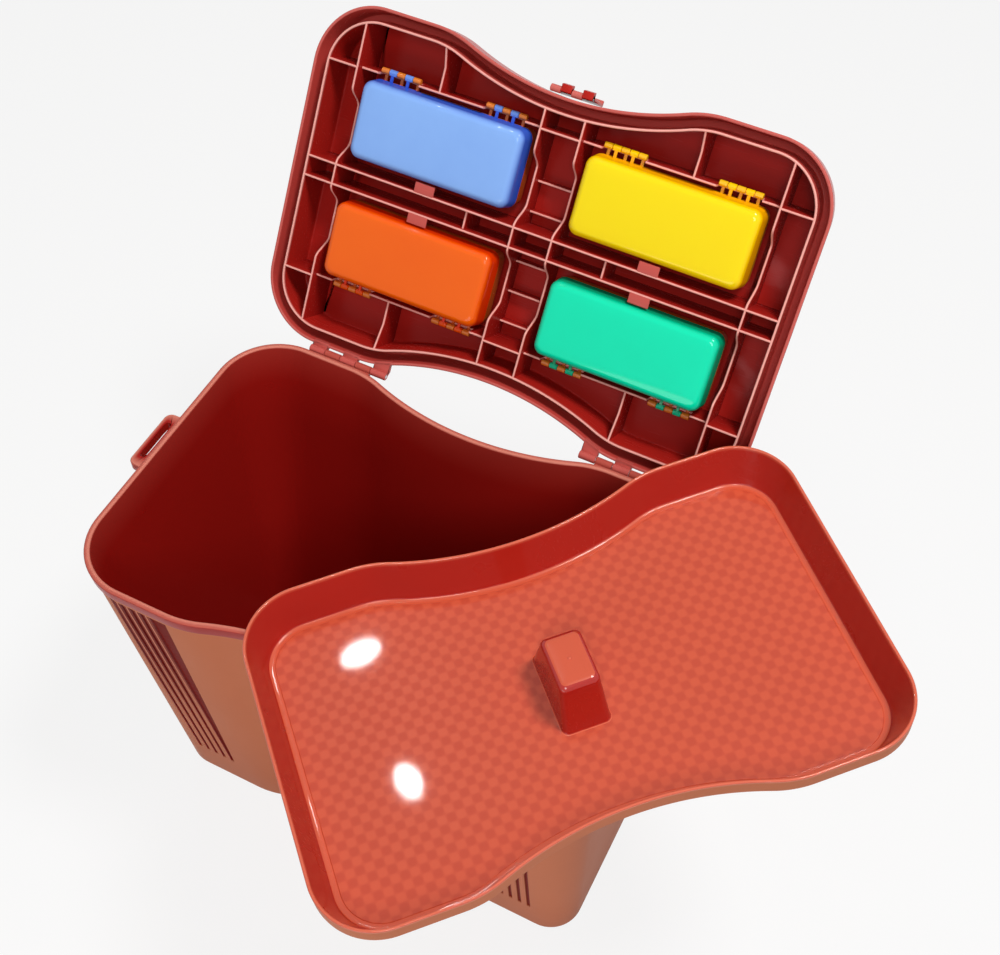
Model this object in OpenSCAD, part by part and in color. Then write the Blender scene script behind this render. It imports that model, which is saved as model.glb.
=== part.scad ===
/* [Seat box] */
// Height of the box rim above the ground
rim_z = 355; // [300:5:400]
// Half length of the rim outline, end to end
half_len = 200; // [192:1:208]
// Half depth of the rim outline, front to back
half_dep = 127.5; // [124:0.5:131]
// Radius of the four plan corners at the rim
corner_r = 48; // [44:1:52]
// Depth of the waist in the middle of each long side
waist_depth = 20.5; // [16:0.5:24]
// Distance from the middle to where each waist starts
waist_half = 112; // [106:1:116]
// Radius of the soft crease where each waist starts
crease_r = 80; // [60:5:100]
// How much the box tapers in at each end, rim to ground
taper_x = 6; // [2:0.5:10]
// How much the box tapers in at each long side, rim to ground
taper_y = 39; // [30:1:42]
// Thickness of the moulded box wall
wall = 3; // [2.6:0.1:3.4]
// Height of the rolled band under the rim
band_h = 12; // [10:0.5:14]
// How far the band stands out from the wall
band_out = 1.6; // [1:0.1:1.8]

/* [Flutes] */
// Number of narrow flutes in each group
flutes = 4; // [2:1:4]
// Distance between flutes
flute_pitch = 8.2; // [7.5:0.1:8.5]
// Width of a flute
flute_w = 3; // [2:0.1:3.6]
// Depth of a flute in the wall
flute_depth = 1.4; // [0.8:0.1:1.6]
// Distance from the middle to the flute next to the wedge
flute_x = 135.5; // [135:0.5:137]
// Width of the wedge at its top
wedge_w = 14; // [8:1:16]

/* [Lid] */
// Angle of the open lid, measured from closed
lid_open = 124; // [100:1:124]
// Distance from the lid lip up to the ceiling inside
lid_ceiling = 34; // [33:1:36]
// Height of the seat edge above the lid lip
lid_h = 37; // [37:1:40]
// Distance from the outline in to the lid's inner wall
inner_wall = 9.1; // [8.5:0.1:10]
// Depth of the channel that seats on the rim
channel_depth = 23; // [10:1:24]
// Thickness of the lid's walls and dividers
rib = 1.8; // [1.4:0.1:2]
// How far the divider frame sits towards the latch side
frame_shift = 2.5; // [0:0.5:3]
// Middle of the frame to the long walls behind the cases
outer_wall_y = 80.5; // [79.5:0.5:81.5]
// Middle of the frame to the walls of the middle channel
channel_y = 7.5; // [6.5:0.5:8]
// Middle of the lid to the cross walls at the inner case ends
inner_cross_x = 15.5; // [15:0.5:17]
// Middle of the lid to the cross walls at the outer case ends
outer_cross_x = 165.5; // [164:0.5:167]
// Middle of the lid to the short ribs of the edge cells
short_rib_x = 100; // [98:1:102]
// Depth of the finger scallops at the case ends
scallop_depth = 16; // [10:1:20]
// Depth below the lip of the low ribs in the middle bay
ladder_depth = 25; // [22:1:28]

/* [Hinges] */
// Hinge axis to the middle of the box
hinge_y = 132.7; // [132.6:0.1:133.5]
// Hinge axis below the rim
hinge_drop = 1.9; // [1.5:0.1:2.2]
// Middle of each hinge to the middle of the box
hinge_x = 117; // [116:0.5:118]
// Length of one hinge knuckle
knuckle_len = 13.2; // [12:0.1:13.4]
// Outer radius of the hinge knuckles
knuckle_r = 3.1; // [2.9:0.1:3.1]
// Diameter of the hinge pins
pin_d = 2.6; // [2.2:0.1:3]

/* [Tray] */
// Gap between the rim outline and the tray lip
tray_inset = 5; // [4.5:0.1:6]
// Depth of the tray from its lip to its floor
tray_depth = 31.5; // [26:0.5:34]
// Height of the skirt outside the lip
skirt_h = 14; // [10:1:16]
// Distance from the tray lip in to the edge of the floor
floor_inset = 14.5; // [13.5:0.5:16]
// Height of the hand grip above the tray lip
grip_above = 9; // [4:1:12]
// Turn of the tray as it lies across the box
tray_yaw = 46; // [45:0.5:47]
// Tilt of the tray where it leans on the open lid
tray_tilt = 4.7; // [4.7:0.1:5]

/* [Tackle cases] */
// Length of a case
case_len = 134.5; // [130:0.5:136]
// Width of a case
case_dep = 59.7; // [58:0.1:60]
// Depth of the case base below its parting line
base_h = 16.5; // [12:0.5:17]
// Height of the case cover above its parting line
cover_h = 17.5; // [14:0.5:18]
// Parting line of a case below the lid lip
parting = 14; // [13.5:0.5:14.5]
// Radius of the edge round the top of a cover
cover_round = 6.5; // [4:0.5:8]
// Wall of the cases
case_wall = 1.5; // [1.2:0.1:1.8]

/* [Hidden] */
corner_steps = 10;      // flats in each plan corner
crease_steps = 4;       // flats in each crease
waist_steps = 6;        // flats in half a waist
case_steps = 5;         // flats in each corner of a case
edge_steps = 4;         // flats in each rounded edge
foot_round = 9;         // rounding where the walls meet the ground
lid_gap = 0.4;          // closed lid lip above the rim
running = 0.05;         // radial clearance of a turning pin
knuckle_gap = 0.5;      // gap between neighbouring knuckles
waist_r = (pow(waist_half, 2) + pow(waist_depth, 2)) / (2 * waist_depth) - crease_r;
waist_turn = asin(waist_half / (waist_r + crease_r));
latch_y = -(half_dep - waist_depth) - 5.2;    // latch pivot in front of the waist
latch_z = 3;                                  // latch pivot above the lid lip
latch_w = 33;
latch_pitch = latch_w / 4;                    // flap and lid have two knuckles each
latch_gap = 0.2;                              // between neighbouring latch knuckles
latch_knuckle_r = 2.6;
latch_pin_d = 2;
latch_len = 26;
latch_t = 2.2;
latch_hook = 3.4;       // how far the hook stands out from the flap
latch_lean = 12;        // angle at which the folded flap rests against the lid
keeper_top = 15;        // keeper ridge below the rim
keeper_h = 5;
tray_sheet = 2.2;       // thickness of the tray floor
lip_w = 2;              // flat top of the tray lip
grip_r = 3;             // rounding of the hand grip
tongue = [16, 2];       // width and thickness of a snap tab's tongue
case_x = (inner_cross_x + outer_cross_x) / 2;
case_corner_r = 8;
case_draft = 1.2;       // how much the sides of a case half lean in
case_base_edge = 5;     // rounding round the bottom of a case base
case_front = 16.3;      // middle of the frame to the latch side of a case
case_back = case_front + case_dep;
case_pin_y = case_back + 7;                   // case hinge line, outside the long wall
case_pin_z = parting - 2;                     // case hinge line below the lid lip
case_pin_d = 1.6;
case_knuckle_r = 2.2;
case_knuckle_len = 6.2;
case_knuckle_gap = 0.4;
case_gap = 0.3;                               // between a closed cover and its base
case_hinge_x = 43.5;                          // middle of a case to each of its hinges
case_leaf_t = 1.4;                            // leaf that carries a case knuckle
dip = case_pin_z - 5;                         // long wall lowered behind a case
notch = case_pin_z + 4.5;                     // long wall cut away at a case hinge

// ---- plan outlines and the skin that joins them -------------------------------------------

// One quarter of the waisted outline: corner arc, crease arc and half of the waist arc,
// each tangent to the next. An inset shrinks the outward arcs and widens the waist's.
function quarter(hl, hd, cr, inset) =
    let (l = hl - inset, d = hd - inset, r = cr - inset,
        bend = crease_r - inset, bow = waist_r + inset, bow_y = hd - waist_depth + waist_r)
    concat(
        [for (i = [0:corner_steps]) let (a = 90 * i / corner_steps)
            [l - r + r * cos(a), d - r + r * sin(a)]],
        [for (i = [0:crease_steps - 1]) let (a = waist_turn * i / crease_steps)
            [waist_half - bend * sin(a), hd - crease_r + bend * cos(a)]],
        [for (i = [waist_steps:-1:0]) let (a = waist_turn * i / waist_steps)
            [bow * sin(a), bow_y - bow * cos(a)]]);

// The last point of a quarter lies on the middle plane, so the mirrored half skips it.
function mirrored(q) =
    let (n = len(q), half = concat(q, [for (i = [n - 2:-1:0]) [-q[i][0], q[i][1]]]), m = len(half))
    concat(half, [for (i = [m - 1:-1:0]) [half[i][0], -half[i][1]]]);

function plan(inset, hl = half_len, hd = half_dep, cr = corner_r) =
    mirrored(quarter(hl, hd, cr, inset));

// Plan of the box at height z, with its taper.
function box_plan(z, inset) =
    let (t = (rim_z - z) / rim_z)
    plan(inset, half_len - taper_x * t, half_dep - taper_y * t, corner_r - 20 * t);

function round_rect(hl, hd, r) =
    [for (c = [0:3], i = [0:case_steps])
        let (a = 90 * (c + i / case_steps), sx = (c == 0 || c == 3) ? 1 : -1, sy = c < 2 ? 1 : -1)
        [sx * (hl - r) + r * cos(a), sy * (hd - r) + r * sin(a)]];

// A closed skin through rings of equal point count: rings is a list of [height, outline].
module skin(rings) {
    n = len(rings[0][1]);
    last = len(rings) - 1;
    points = [for (ring = rings, p = ring[1]) [p[0], p[1], ring[0]]];
    sides = [for (k = [0:last - 1], i = [0:n - 1], half = [0, 1])
        let (j = (i + 1) % n, a = k * n, b = a + n)
        half == 0 ? [a + i, b + i, b + j] : [a + i, b + j, a + j]];
    bottom = [[for (i = [0:n - 1]) i]];
    top = [[for (i = [n - 1:-1:0]) last * n + i]];
    polyhedron(points, concat(bottom, sides, top), convexity = 8);
}

// Quarter-round edge from the side (angle 0) to the face (angle 90), as [rise, inset] pairs.
function edge_arc(r) = [for (i = [0:edge_steps]) let (a = 90 * i / edge_steps)
    [r * sin(a), r * (1 - cos(a))]];

// ---- placing ------------------------------------------------------------------------------

// Children are drawn with the lid closed and its lip at height 0.
module on_lid() {
    translate([0, hinge_y, rim_z - hinge_drop]) rotate([-lid_open, 0, 0])
        translate([0, -hinge_y, hinge_drop + lid_gap]) children();
}

// Children are drawn with the case's hinge side to the back, from the middle of the frame:
// side -1 is the left, row -1 is the latch side of the lid.
module on_case(side, row) {
    on_lid() translate([side * case_x, -frame_shift, 0])
        turn_row(row) children();
}

module turn_row(row) {
    rotate([0, 0, row < 0 ? 180 : 0]) children();
}

// ---- box ----------------------------------------------------------------------------------

module shell_skin() {
    foot = [for (e = edge_arc(foot_round)) [foot_round - e[0], e[1]]];
    outside = [for (i = [len(foot) - 1:-1:0]) [foot[i][0], box_plan(foot[i][0], foot[i][1])]];
    z_band = rim_z - band_h;
    band = [[z_band, box_plan(z_band, 0)],
        [z_band + 0.8, box_plan(z_band, -band_out)],
        [rim_z - 1.5, plan(-band_out)],
        [rim_z, plan(0)],
        [rim_z, plan(wall - 0.8)],
        [rim_z - 1.5, plan(wall)]];
    inside = [[wall + foot_round - 2, box_plan(wall + foot_round, wall)],
        [wall + 2, box_plan(wall, wall + 3)],
        [wall, box_plan(wall, wall + foot_round)]];
    skin(concat(outside, band, inside));
}

// The flutes follow the slope of the long wall, so they are cut in its plane.
module flute_cuts() {
    slope = atan(taper_y / rim_z);
    top = rim_z - band_h - 6;
    length = 285;
    face = half_dep - taper_y * (rim_z - top) / rim_z;
    for (side = [-1, 1], face_side = [0, 180]) rotate([0, 0, face_side])
        translate([0, face, top]) rotate([-slope, 0, 0]) {
            for (i = [0:flutes - 1])
                translate([side * (flute_x + i * flute_pitch), 0, -length / 2])
                    cube([flute_w, 2 * flute_depth, length], center = true);
            wedge(side, length);
        }
}

// The fifth flute widens upward into the crease of the waist.
module wedge(side, length) {
    foot_x = flute_x - flute_pitch - flute_w / 2;
    translate([0, flute_depth, 0]) rotate([90, 0, 0]) linear_extrude(2 * flute_depth)
        polygon([[side * (foot_x + flute_w), 0], [side * (foot_x + flute_w), -length],
            [side * foot_x, -length], [side * (foot_x + flute_w - wedge_w), 0]]);
}

// Ridge that the latch hooks under, rooted in the wall.
module keeper() {
    depth = 6.5;
    inner_face = latch_t / 2 - 1;
    translate([-latch_w / 2 + 3, latch_y + inner_face + latch_t, rim_z - keeper_top - keeper_h])
        cube([latch_w - 6, depth, keeper_h]);
}

// Knuckles of one hinge: which = 0 for the box (2 knuckles), 1 for the lid (3 knuckles).
function knuckle_start(i) =
    -2.5 * knuckle_len - 2 * knuckle_gap + i * (knuckle_len + knuckle_gap);

module knuckles(which, arm_z, bore_d) {
    arm = 14;
    for (i = [which == 0 ? 1 : 0:2:4]) translate([knuckle_start(i), 0, 0]) difference() {
        union() {
            rotate([0, 90, 0]) cylinder(r = knuckle_r, h = knuckle_len, $fn = 48);
            translate([0, -arm, arm_z[0]]) cube([knuckle_len, arm, arm_z[1] - arm_z[0]]);
        }
        translate([-1, 0, 0]) rotate([0, 90, 0])
            cylinder(d = bore_d, h = knuckle_len + 2, $fn = 48);
    }
}

module body_shell() {
    color("firebrick") union() {
        difference() {
            shell_skin();
            flute_cuts();
        }
        keeper();
        difference() {
            for (side = [-1, 1]) translate([side * hinge_x, hinge_y, rim_z - hinge_drop])
                knuckles(0, [-6, 0], pin_d);
            translate([0, 0, rim_z - band_h]) linear_extrude(band_h + 1) polygon(plan(1));
        }
    }
}

// A loop at each end for a shoulder strap: a rounded bail with a slot through it.
module strap_loop(side) {
    loop_h = 8;
    root = half_len + band_out;
    color("firebrick") turn_side(side) translate([root, 0, rim_z - band_h + 1])
        linear_extrude(loop_h) difference() {
            union() {
                translate([0, -27]) square([6, 54]);
                translate([6, -21]) square([6, 42]);
                for (s = [-1, 1]) translate([6, s * 21]) circle(r = 6, $fn = 48);
            }
            translate([2.2, -18]) square([5.6, 36]);
        }
}

module turn_side(side) {
    rotate([0, 0, side < 0 ? 180 : 0]) children();
}

module hinge_pin(side) {
    length = 5 * knuckle_len + 4 * knuckle_gap;
    color("silver") translate([side * hinge_x - length / 2, hinge_y, rim_z - hinge_drop])
        rotate([0, 90, 0]) cylinder(d = pin_d, h = length, $fn = 48);
}

// ---- lid ----------------------------------------------------------------------------------

module lid_skin() {
    crown = 12;
    side_top = lid_h - crown;
    draft = 1.2;
    edge = [for (e = edge_arc(crown)) [side_top + e[0], plan(e[1] + draft)]];
    skin(concat(
        [[lid_ceiling, plan(inner_wall + rib)],
            [0, plan(inner_wall + rib)],
            [0, plan(inner_wall)],
            [channel_depth, plan(inner_wall)],
            [channel_depth, plan(3.4)],
            [0, plan(0.8)],
            [0, plan(-band_out + 0.6)],
            [0.8, plan(-band_out)]],
        edge,
        [[lid_h + 0.8, plan(34)]]));
}

module lid_shell() {
    lug = latch_pitch - latch_gap;
    color("firebrick") on_lid() union() {
        lid_skin();
        difference() {
            for (side = [-1, 1]) translate([side * hinge_x, hinge_y, -hinge_drop - lid_gap])
                knuckles(1, [hinge_drop + lid_gap, 6.3], pin_d + 2 * running);
            translate([0, 0, -1]) linear_extrude(6) polygon(plan(1));
        }
        for (x = [-latch_pitch, latch_pitch]) translate([x, latch_y, latch_z]) difference() {
            union() {
                rotate([0, 90, 0]) cylinder(r = latch_knuckle_r, h = lug, $fn = 48);
                translate([0, 0, -latch_knuckle_r]) cube([lug, 5, 2 * latch_knuckle_r]);
            }
            translate([-1, 0, 0]) rotate([0, 90, 0])
                cylinder(d = latch_pin_d + 2 * running, h = lug + 2, $fn = 48);
        }
    }
}

// A smooth finger scallop in the top edge of a cross wall, drawn in the wall's plane.
module scallop(row) {
    start = 9;
    end = 66;
    run = 15;
    points = [for (i = [0:8]) let (t = i / 8)
        [start + run * t, scallop_depth * (1 - cos(180 * t)) / 2]];
    mirror_end = [for (i = [8:-1:0]) [start + end - points[i][0], points[i][1]]];
    turn_row(row) translate([-rib, 0, 0]) rotate([90, 0, 90]) linear_extrude(2 * rib)
        polygon(concat([[start, -1]], points, mirror_end, [[end, -1]]));
}

// Children are drawn from the middle of the frame and end at the lid's inner wall.
module in_frame() {
    color("firebrick") on_lid() intersection() {
        linear_extrude(lid_ceiling) polygon(plan(inner_wall + rib));
        translate([0, -frame_shift, 0]) children();
    }
}

// Plates across the lid, one at each end of every case; scalloped for the fingers or plain.
module cross_plates(scalloped) {
    for (x = [-outer_cross_x, -inner_cross_x, inner_cross_x, outer_cross_x])
        translate([x, 0, 0]) difference() {
            translate([-rib / 2, -half_dep, 0]) cube([rib, 2 * half_dep, lid_ceiling]);
            if (scalloped) for (row = [-1, 1]) scallop(row);
        }
}

module lid_cross_walls() {
    in_frame() cross_plates(true);
}

// Long wall behind two cases, cut down between the cross walls to the depth of the hinges.
module case_rail() {
    low = outer_cross_x - inner_cross_x;
    difference() {
        translate([-half_len, outer_wall_y - rib / 2, 0]) cube([2 * half_len, rib, lid_ceiling]);
        for (side = [-1, 1]) translate([side * case_x, outer_wall_y, 0])
            cube([low, 2 * rib, 2 * notch], center = true);
    }
}

// Posts that carry the rail's edge up beside the case hinges, which turn outside it.
module rail_posts() {
    hinge_w = 5 * case_knuckle_len + 6 * case_knuckle_gap;
    low = outer_cross_x - inner_cross_x;
    height = notch - dip;
    for (side = [-1, 1]) translate([side * case_x, outer_wall_y, dip + height / 2]) difference() {
        cube([low, rib, height], center = true);
        for (h = [-1, 1]) translate([h * case_hinge_x, 0, 0])
            cube([hinge_w, 2 * rib, 2 * height], center = true);
    }
}

// The rails run from one cross wall to the next.
module lid_case_rails() {
    in_frame() difference() {
        for (row = [-1, 1]) turn_row(row) case_rail();
        cross_plates(false);
    }
}

module lid_rail_posts() {
    in_frame() difference() {
        for (row = [-1, 1]) turn_row(row) rail_posts();
        cross_plates(false);
    }
}

// Snap tab that holds the latch side of a case, on a stem from the channel wall.
module snap_tab() {
    reach = case_front - channel_y - 0.7;
    translate([-tongue[0] / 2, channel_y, 0]) cube([tongue[0], reach, tongue[1]]);
    translate([-tongue[1] / 2, channel_y, 0]) cube([tongue[1], reach, channel_depth]);
}

module lid_channel_walls() {
    in_frame() difference() {
        for (row = [-1, 1]) turn_row(row) {
            translate([-half_len, channel_y - rib / 2, 0])
                cube([2 * half_len, rib, lid_ceiling]);
            for (side = [-1, 1]) translate([side * case_x, 0, 0]) snap_tab();
        }
        cross_plates(false);
    }
}

// Ribs of the edge cells, low rungs in the middle bay and two bridges in the channel.
module lid_small_ribs() {
    behind_case = 19;
    rail_face = outer_wall_y + rib / 2;
    bay = 2 * inner_cross_x - rib;
    channel = 2 * channel_y - rib;
    bridge_drop = 4;
    in_frame() {
        for (row = [-1, 1], side = [-1, 1]) turn_row(row)
            translate([side * short_rib_x - rib / 2, rail_face, 0]) difference() {
                cube([rib, half_dep - rail_face, lid_ceiling]);
                translate([-rib, -rib, -1])
                    cube([3 * rib, behind_case + rib, dip + 1]);
            }
        for (y = [-41, -18, 20.5, 44, 68]) translate([-bay / 2, y - rib / 2, ladder_depth])
            cube([bay, rib, lid_ceiling - ladder_depth]);
        for (x = [-55, 58]) translate([x - rib / 2, -channel / 2, bridge_drop])
            cube([rib, channel, lid_ceiling - bridge_drop]);
    }
}

// ---- latch --------------------------------------------------------------------------------

// The flap is drawn folded up against the lid; it swings down over the keeper.
module latch_flap() {
    knuckle = latch_pitch - latch_gap;
    slot = latch_pitch + latch_gap;
    tip = 2.5;
    color("firebrick") on_lid() translate([0, latch_y, latch_z]) rotate([-latch_lean, 0, 0])
        difference() {
            union() {
                for (x = [-2 * latch_pitch, 0]) translate([x, 0, 0]) rotate([0, 90, 0])
                    cylinder(r = latch_knuckle_r, h = knuckle, $fn = 48);
                difference() {
                    translate([-latch_w / 2, -1 - latch_t / 2, 0])
                        cube([latch_w - latch_gap, latch_t, latch_len]);
                    for (x = [-latch_pitch, latch_pitch]) translate([x - latch_gap, -5, -5])
                        cube([slot, 10, 5 + latch_knuckle_r + 0.4]);
                }
                translate([-latch_w / 2, -1 - latch_hook, latch_len - tip])
                    cube([latch_w - latch_gap, latch_hook, tip]);
            }
            translate([-latch_w, 0, 0]) rotate([0, 90, 0])
                cylinder(d = latch_pin_d, h = 2 * latch_w, $fn = 48);
        }
}

module latch_pin() {
    color("silver") on_lid() translate([-latch_w / 2, latch_y, latch_z]) rotate([0, 90, 0])
        cylinder(d = latch_pin_d, h = latch_w - latch_gap, $fn = 48);
}

// ---- tray ---------------------------------------------------------------------------------

// The wall leans in below its lip, and a skirt hangs outside it with a groove between.
module tray_skin() {
    o = tray_inset;
    edge = o + floor_inset;
    skirt_t = 1.8;
    groove = 7.6;
    wall_t = 1.9;
    lean = (floor_inset - 5.4 - lip_w) / (tray_depth - 8);
    skin([[-tray_depth - tray_sheet, plan(edge)],
        [-tray_depth + 1, plan(edge - 5)],
        [-tray_depth + 7, plan(edge - 7.4)],
        [-groove, plan(o + lip_w + lean * groove - wall_t)],
        [-groove + 0.4, plan(o + skirt_t)],
        [-skirt_h, plan(o + skirt_t)],
        [-skirt_h, plan(o)],
        [-0.8, plan(o)],
        [0, plan(o + 0.8)],
        [0, plan(o + lip_w)],
        [-tray_depth + 8, plan(edge - 5.4)],
        [-tray_depth + 2.4, plan(edge - 3)],
        [-tray_depth, plan(edge)]]);
}

// Hand grip in the middle of the tray: a tapered block with rounded edges, hollow below.
module grip(inset, top) {
    foot = [16.5 - inset, 31 - inset];
    head = [13.5 - inset, 19.5 - inset];
    skin([[-tray_depth - inset, round_rect(foot[0], foot[1], grip_r)],
        [top - grip_r, round_rect(head[0], head[1], grip_r)],
        [top - 1, round_rect(head[0] - 0.9, head[1] - 0.9, grip_r)],
        [top, round_rect(head[0] - grip_r, head[1] - grip_r, grip_r - 1)]]);
}

module tray() {
    grip_wall = 2.4;
    color("firebrick") translate([164, -61.5, rim_z + 48.3])
        rotate([0, -tray_tilt, tray_yaw]) difference() {
            union() {
                tray_skin();
                grip(0, grip_above);
            }
            grip(grip_wall, grip_above - grip_wall);
        }
}

// ---- tackle cases -------------------------------------------------------------------------

// Rings of a case half: outline at the parting line, drafted and rounded to its far face.
function half_rings(h, edge, inset) =
    let (hl = case_len / 2 - inset, hd = case_dep / 2 - inset, r = case_corner_r - inset)
    concat([[0, round_rect(hl, hd, r)]],
        [for (e = edge_arc(edge)) let (lean = case_draft + e[1]) [h - edge + e[0],
            round_rect(hl - lean, hd - lean, max(r - e[1] * 0.4, 2))]]);

module half_shell(h, edge) {
    difference() {
        skin(half_rings(h, edge, 0));
        translate([0, 0, -0.01]) skin(half_rings(h - case_wall, edge - 1, case_wall));
    }
}

// Knuckle comb of one case: which = 0 for the base (3 knuckles), 1 for the cover (2).
// The leaves cross the long wall of the frame through its notches.
module case_knuckles(which, bore_d) {
    span = 5 * case_knuckle_len + 4 * case_knuckle_gap;
    pitch = case_knuckle_len + case_knuckle_gap;
    reach = case_pin_y - case_back + 1;
    for (h = [-1, 1], i = [which:2:4])
        translate([h * case_hinge_x - span / 2 + i * pitch, case_pin_y, case_pin_z]) difference() {
            union() {
                rotate([0, 90, 0]) cylinder(r = case_knuckle_r, h = case_knuckle_len, $fn = 32);
                if (which == 0) {
                    translate([0, -reach, parting - case_pin_z])
                        cube([case_knuckle_len, reach, case_leaf_t]);
                    translate([0, -case_knuckle_r, 0])
                        cube([case_knuckle_len, case_knuckle_r,
                            parting - case_pin_z + case_leaf_t]);
                } else {
                    translate([0, -reach, -case_knuckle_r])
                        cube([case_knuckle_len, reach, case_leaf_t]);
                }
            }
            translate([-1, 0, 0]) rotate([0, 90, 0])
                cylinder(d = bore_d, h = case_knuckle_len + 2, $fn = 32);
        }
}

module case_base(side, row) {
    color("darkorange") on_case(side, row) union() {
        translate([0, case_front + case_dep / 2, parting]) half_shell(base_h, case_base_edge);
        case_knuckles(0, case_pin_d);
    }
}

module case_cover(side, row, shade) {
    color(shade) on_case(side, row) union() {
        translate([0, case_front + case_dep / 2, parting - case_gap]) mirror([0, 0, 1])
            half_shell(cover_h, cover_round);
        case_knuckles(1, case_pin_d + 2 * running);
    }
}

module case_pins(side, row) {
    span = 5 * case_knuckle_len + 4 * case_knuckle_gap;
    color("darkorange") on_case(side, row) for (h = [-1, 1])
        translate([h * case_hinge_x - span / 2, case_pin_y, case_pin_z]) rotate([0, 90, 0])
            cylinder(d = case_pin_d, h = span, $fn = 32);
}

body_shell();
strap_loop(-1);  // strap_loop_left
strap_loop(1);  // strap_loop_right
hinge_pin(-1);  // hinge_pin_left
hinge_pin(1);  // hinge_pin_right
lid_shell();
lid_cross_walls();
lid_case_rails();
lid_rail_posts();
lid_channel_walls();
lid_small_ribs();
latch_flap();
latch_pin();
tray();
case_base(-1, -1);  // blue_case_base
case_cover(-1, -1, "cornflowerblue");  // blue_case_cover
case_pins(-1, -1);  // blue_case_pins
case_base(1, -1);  // yellow_case_base
case_cover(1, -1, "gold");  // yellow_case_cover
case_pins(1, -1);  // yellow_case_pins
case_base(-1, 1);  // orange_case_base
case_cover(-1, 1, "orangered");  // orange_case_cover
case_pins(-1, 1);  // orange_case_pins
case_base(1, 1);  // green_case_base
case_cover(1, 1, "mediumaquamarine");  // green_case_cover
case_pins(1, 1);  // green_case_pins
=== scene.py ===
"""Looks of a waisted seat box for fishing: box, ribbed lid, small tackle cases and tray.

Shapes are worked out in millimetres, and become metres when a mesh is made.
"""

import logging
import math
from dataclasses import dataclass, replace
from enum import Enum
from typing import Callable, Sequence

import bpy
import numpy as np
from mathutils import Matrix, Vector


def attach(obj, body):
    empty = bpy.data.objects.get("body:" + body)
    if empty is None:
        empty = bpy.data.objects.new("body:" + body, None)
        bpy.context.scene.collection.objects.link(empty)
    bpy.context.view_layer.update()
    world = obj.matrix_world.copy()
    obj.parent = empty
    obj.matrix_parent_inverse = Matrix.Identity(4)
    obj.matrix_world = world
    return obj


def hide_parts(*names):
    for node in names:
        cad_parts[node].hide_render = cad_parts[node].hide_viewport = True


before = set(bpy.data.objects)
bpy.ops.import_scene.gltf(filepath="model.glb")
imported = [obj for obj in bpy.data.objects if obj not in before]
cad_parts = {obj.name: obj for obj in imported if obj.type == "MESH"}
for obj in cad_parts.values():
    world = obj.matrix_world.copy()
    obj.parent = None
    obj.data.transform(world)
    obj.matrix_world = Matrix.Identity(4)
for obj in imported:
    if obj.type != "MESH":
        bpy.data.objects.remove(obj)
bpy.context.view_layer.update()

MM = 0.001
SHARP = math.radians(40)
BULGE = 0.05
KNUCKLE_BEVEL = 0.35
WHITE = (1.0, 1.0, 1.0, 1.0)
log = logging.getLogger("seat_box")


class Row(Enum):
    """Side of the lid that a case lies on."""

    LATCH = -1
    HINGE = 1


# ---- shapes ---------------------------------------------------------------------------------


@dataclass
class Surface:
    """Points and faces in the making; the tone at a point paints light, from -1, a painted
    highlight, to 1, painted shade, and on the tray a tone of 1 marks the checkered panel.
    """

    points: np.ndarray
    quads: np.ndarray
    tris: np.ndarray
    tone: np.ndarray

    @staticmethod
    def join(parts: Sequence["Surface"]) -> "Surface":
        """One surface that holds all the parts.

        Args:
            parts: the surfaces, in order.

        Returns:
            The joined surface, its faces renumbered.
        """
        starts = np.cumsum([0] + [len(p.points) for p in parts])
        return Surface(
            np.concatenate([p.points for p in parts]),
            np.concatenate([p.quads + s for p, s in zip(parts, starts)]),
            np.concatenate([p.tris + s for p, s in zip(parts, starts)]),
            np.concatenate([p.tone for p in parts]),
        )

    def placed(self, matrix: np.ndarray) -> "Surface":
        """The surface carried by a 4 by 4 matrix."""
        moved = self.points @ matrix[:3, :3].T + matrix[:3, 3]
        return replace(self, points=moved)

    def outward(self) -> "Surface":
        """The closed surface with its faces turned so that its signed volume is positive.

        Returns:
            This surface, or a copy with every face reversed.
        """
        split = np.concatenate([self.tris, self.quads[:, [0, 1, 2]], self.quads[:, [0, 2, 3]]])
        a, b, c = (self.points[split[:, k]] for k in range(3))
        if np.einsum("ij,ij->", a, np.cross(b, c)) >= 0:
            return self
        return replace(self, quads=self.quads[:, ::-1], tris=self.tris[:, ::-1])


def grid(points: np.ndarray, around: bool = False, closed: bool = False) -> Surface:
    """Quads between neighbours of a grid of points.

    Args:
        points: rows by columns by 3.
        around: join the last column to the first.
        closed: join the last row to the first.

    Returns:
        The surface, with no end caps.
    """
    rows, columns = points.shape[:2]
    index = np.arange(rows * columns).reshape(rows, columns)
    if around:
        index = np.concatenate([index, index[:, :1]], axis=1)
    if closed:
        index = np.concatenate([index, index[:1]], axis=0)
    quads = np.stack([index[:-1, :-1], index[:-1, 1:], index[1:, 1:], index[1:, :-1]], axis=-1)
    return Surface(points.reshape(-1, 3), quads.reshape(-1, 4), np.empty((0, 3), int),
                   np.zeros(rows * columns))


def loft(rings: np.ndarray) -> Surface:
    """A closed skin through rings that are mirrored in the x axis.

    Each cap is a ladder: point i of the upper half is joined to point n - i of the lower half.

    Args:
        rings: rings by points by 3, each ring anticlockwise from its +x end.

    Returns:
        The closed surface.
    """
    skin = grid(rings, around=True)
    n, half = rings.shape[1], rings.shape[1] // 2
    i = np.arange(1, half - 1)
    rungs = np.stack([i, i + 1, n - i - 1, n - i], axis=-1)
    ends = np.array([[0, 1, n - 1], [half - 1, half, half + 1]])
    last = (rings.shape[0] - 1) * n
    skin.quads = np.concatenate([skin.quads, rungs[:, ::-1], rungs + last])
    skin.tris = np.concatenate([ends[:, ::-1], ends + last])
    return skin.outward()


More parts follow.
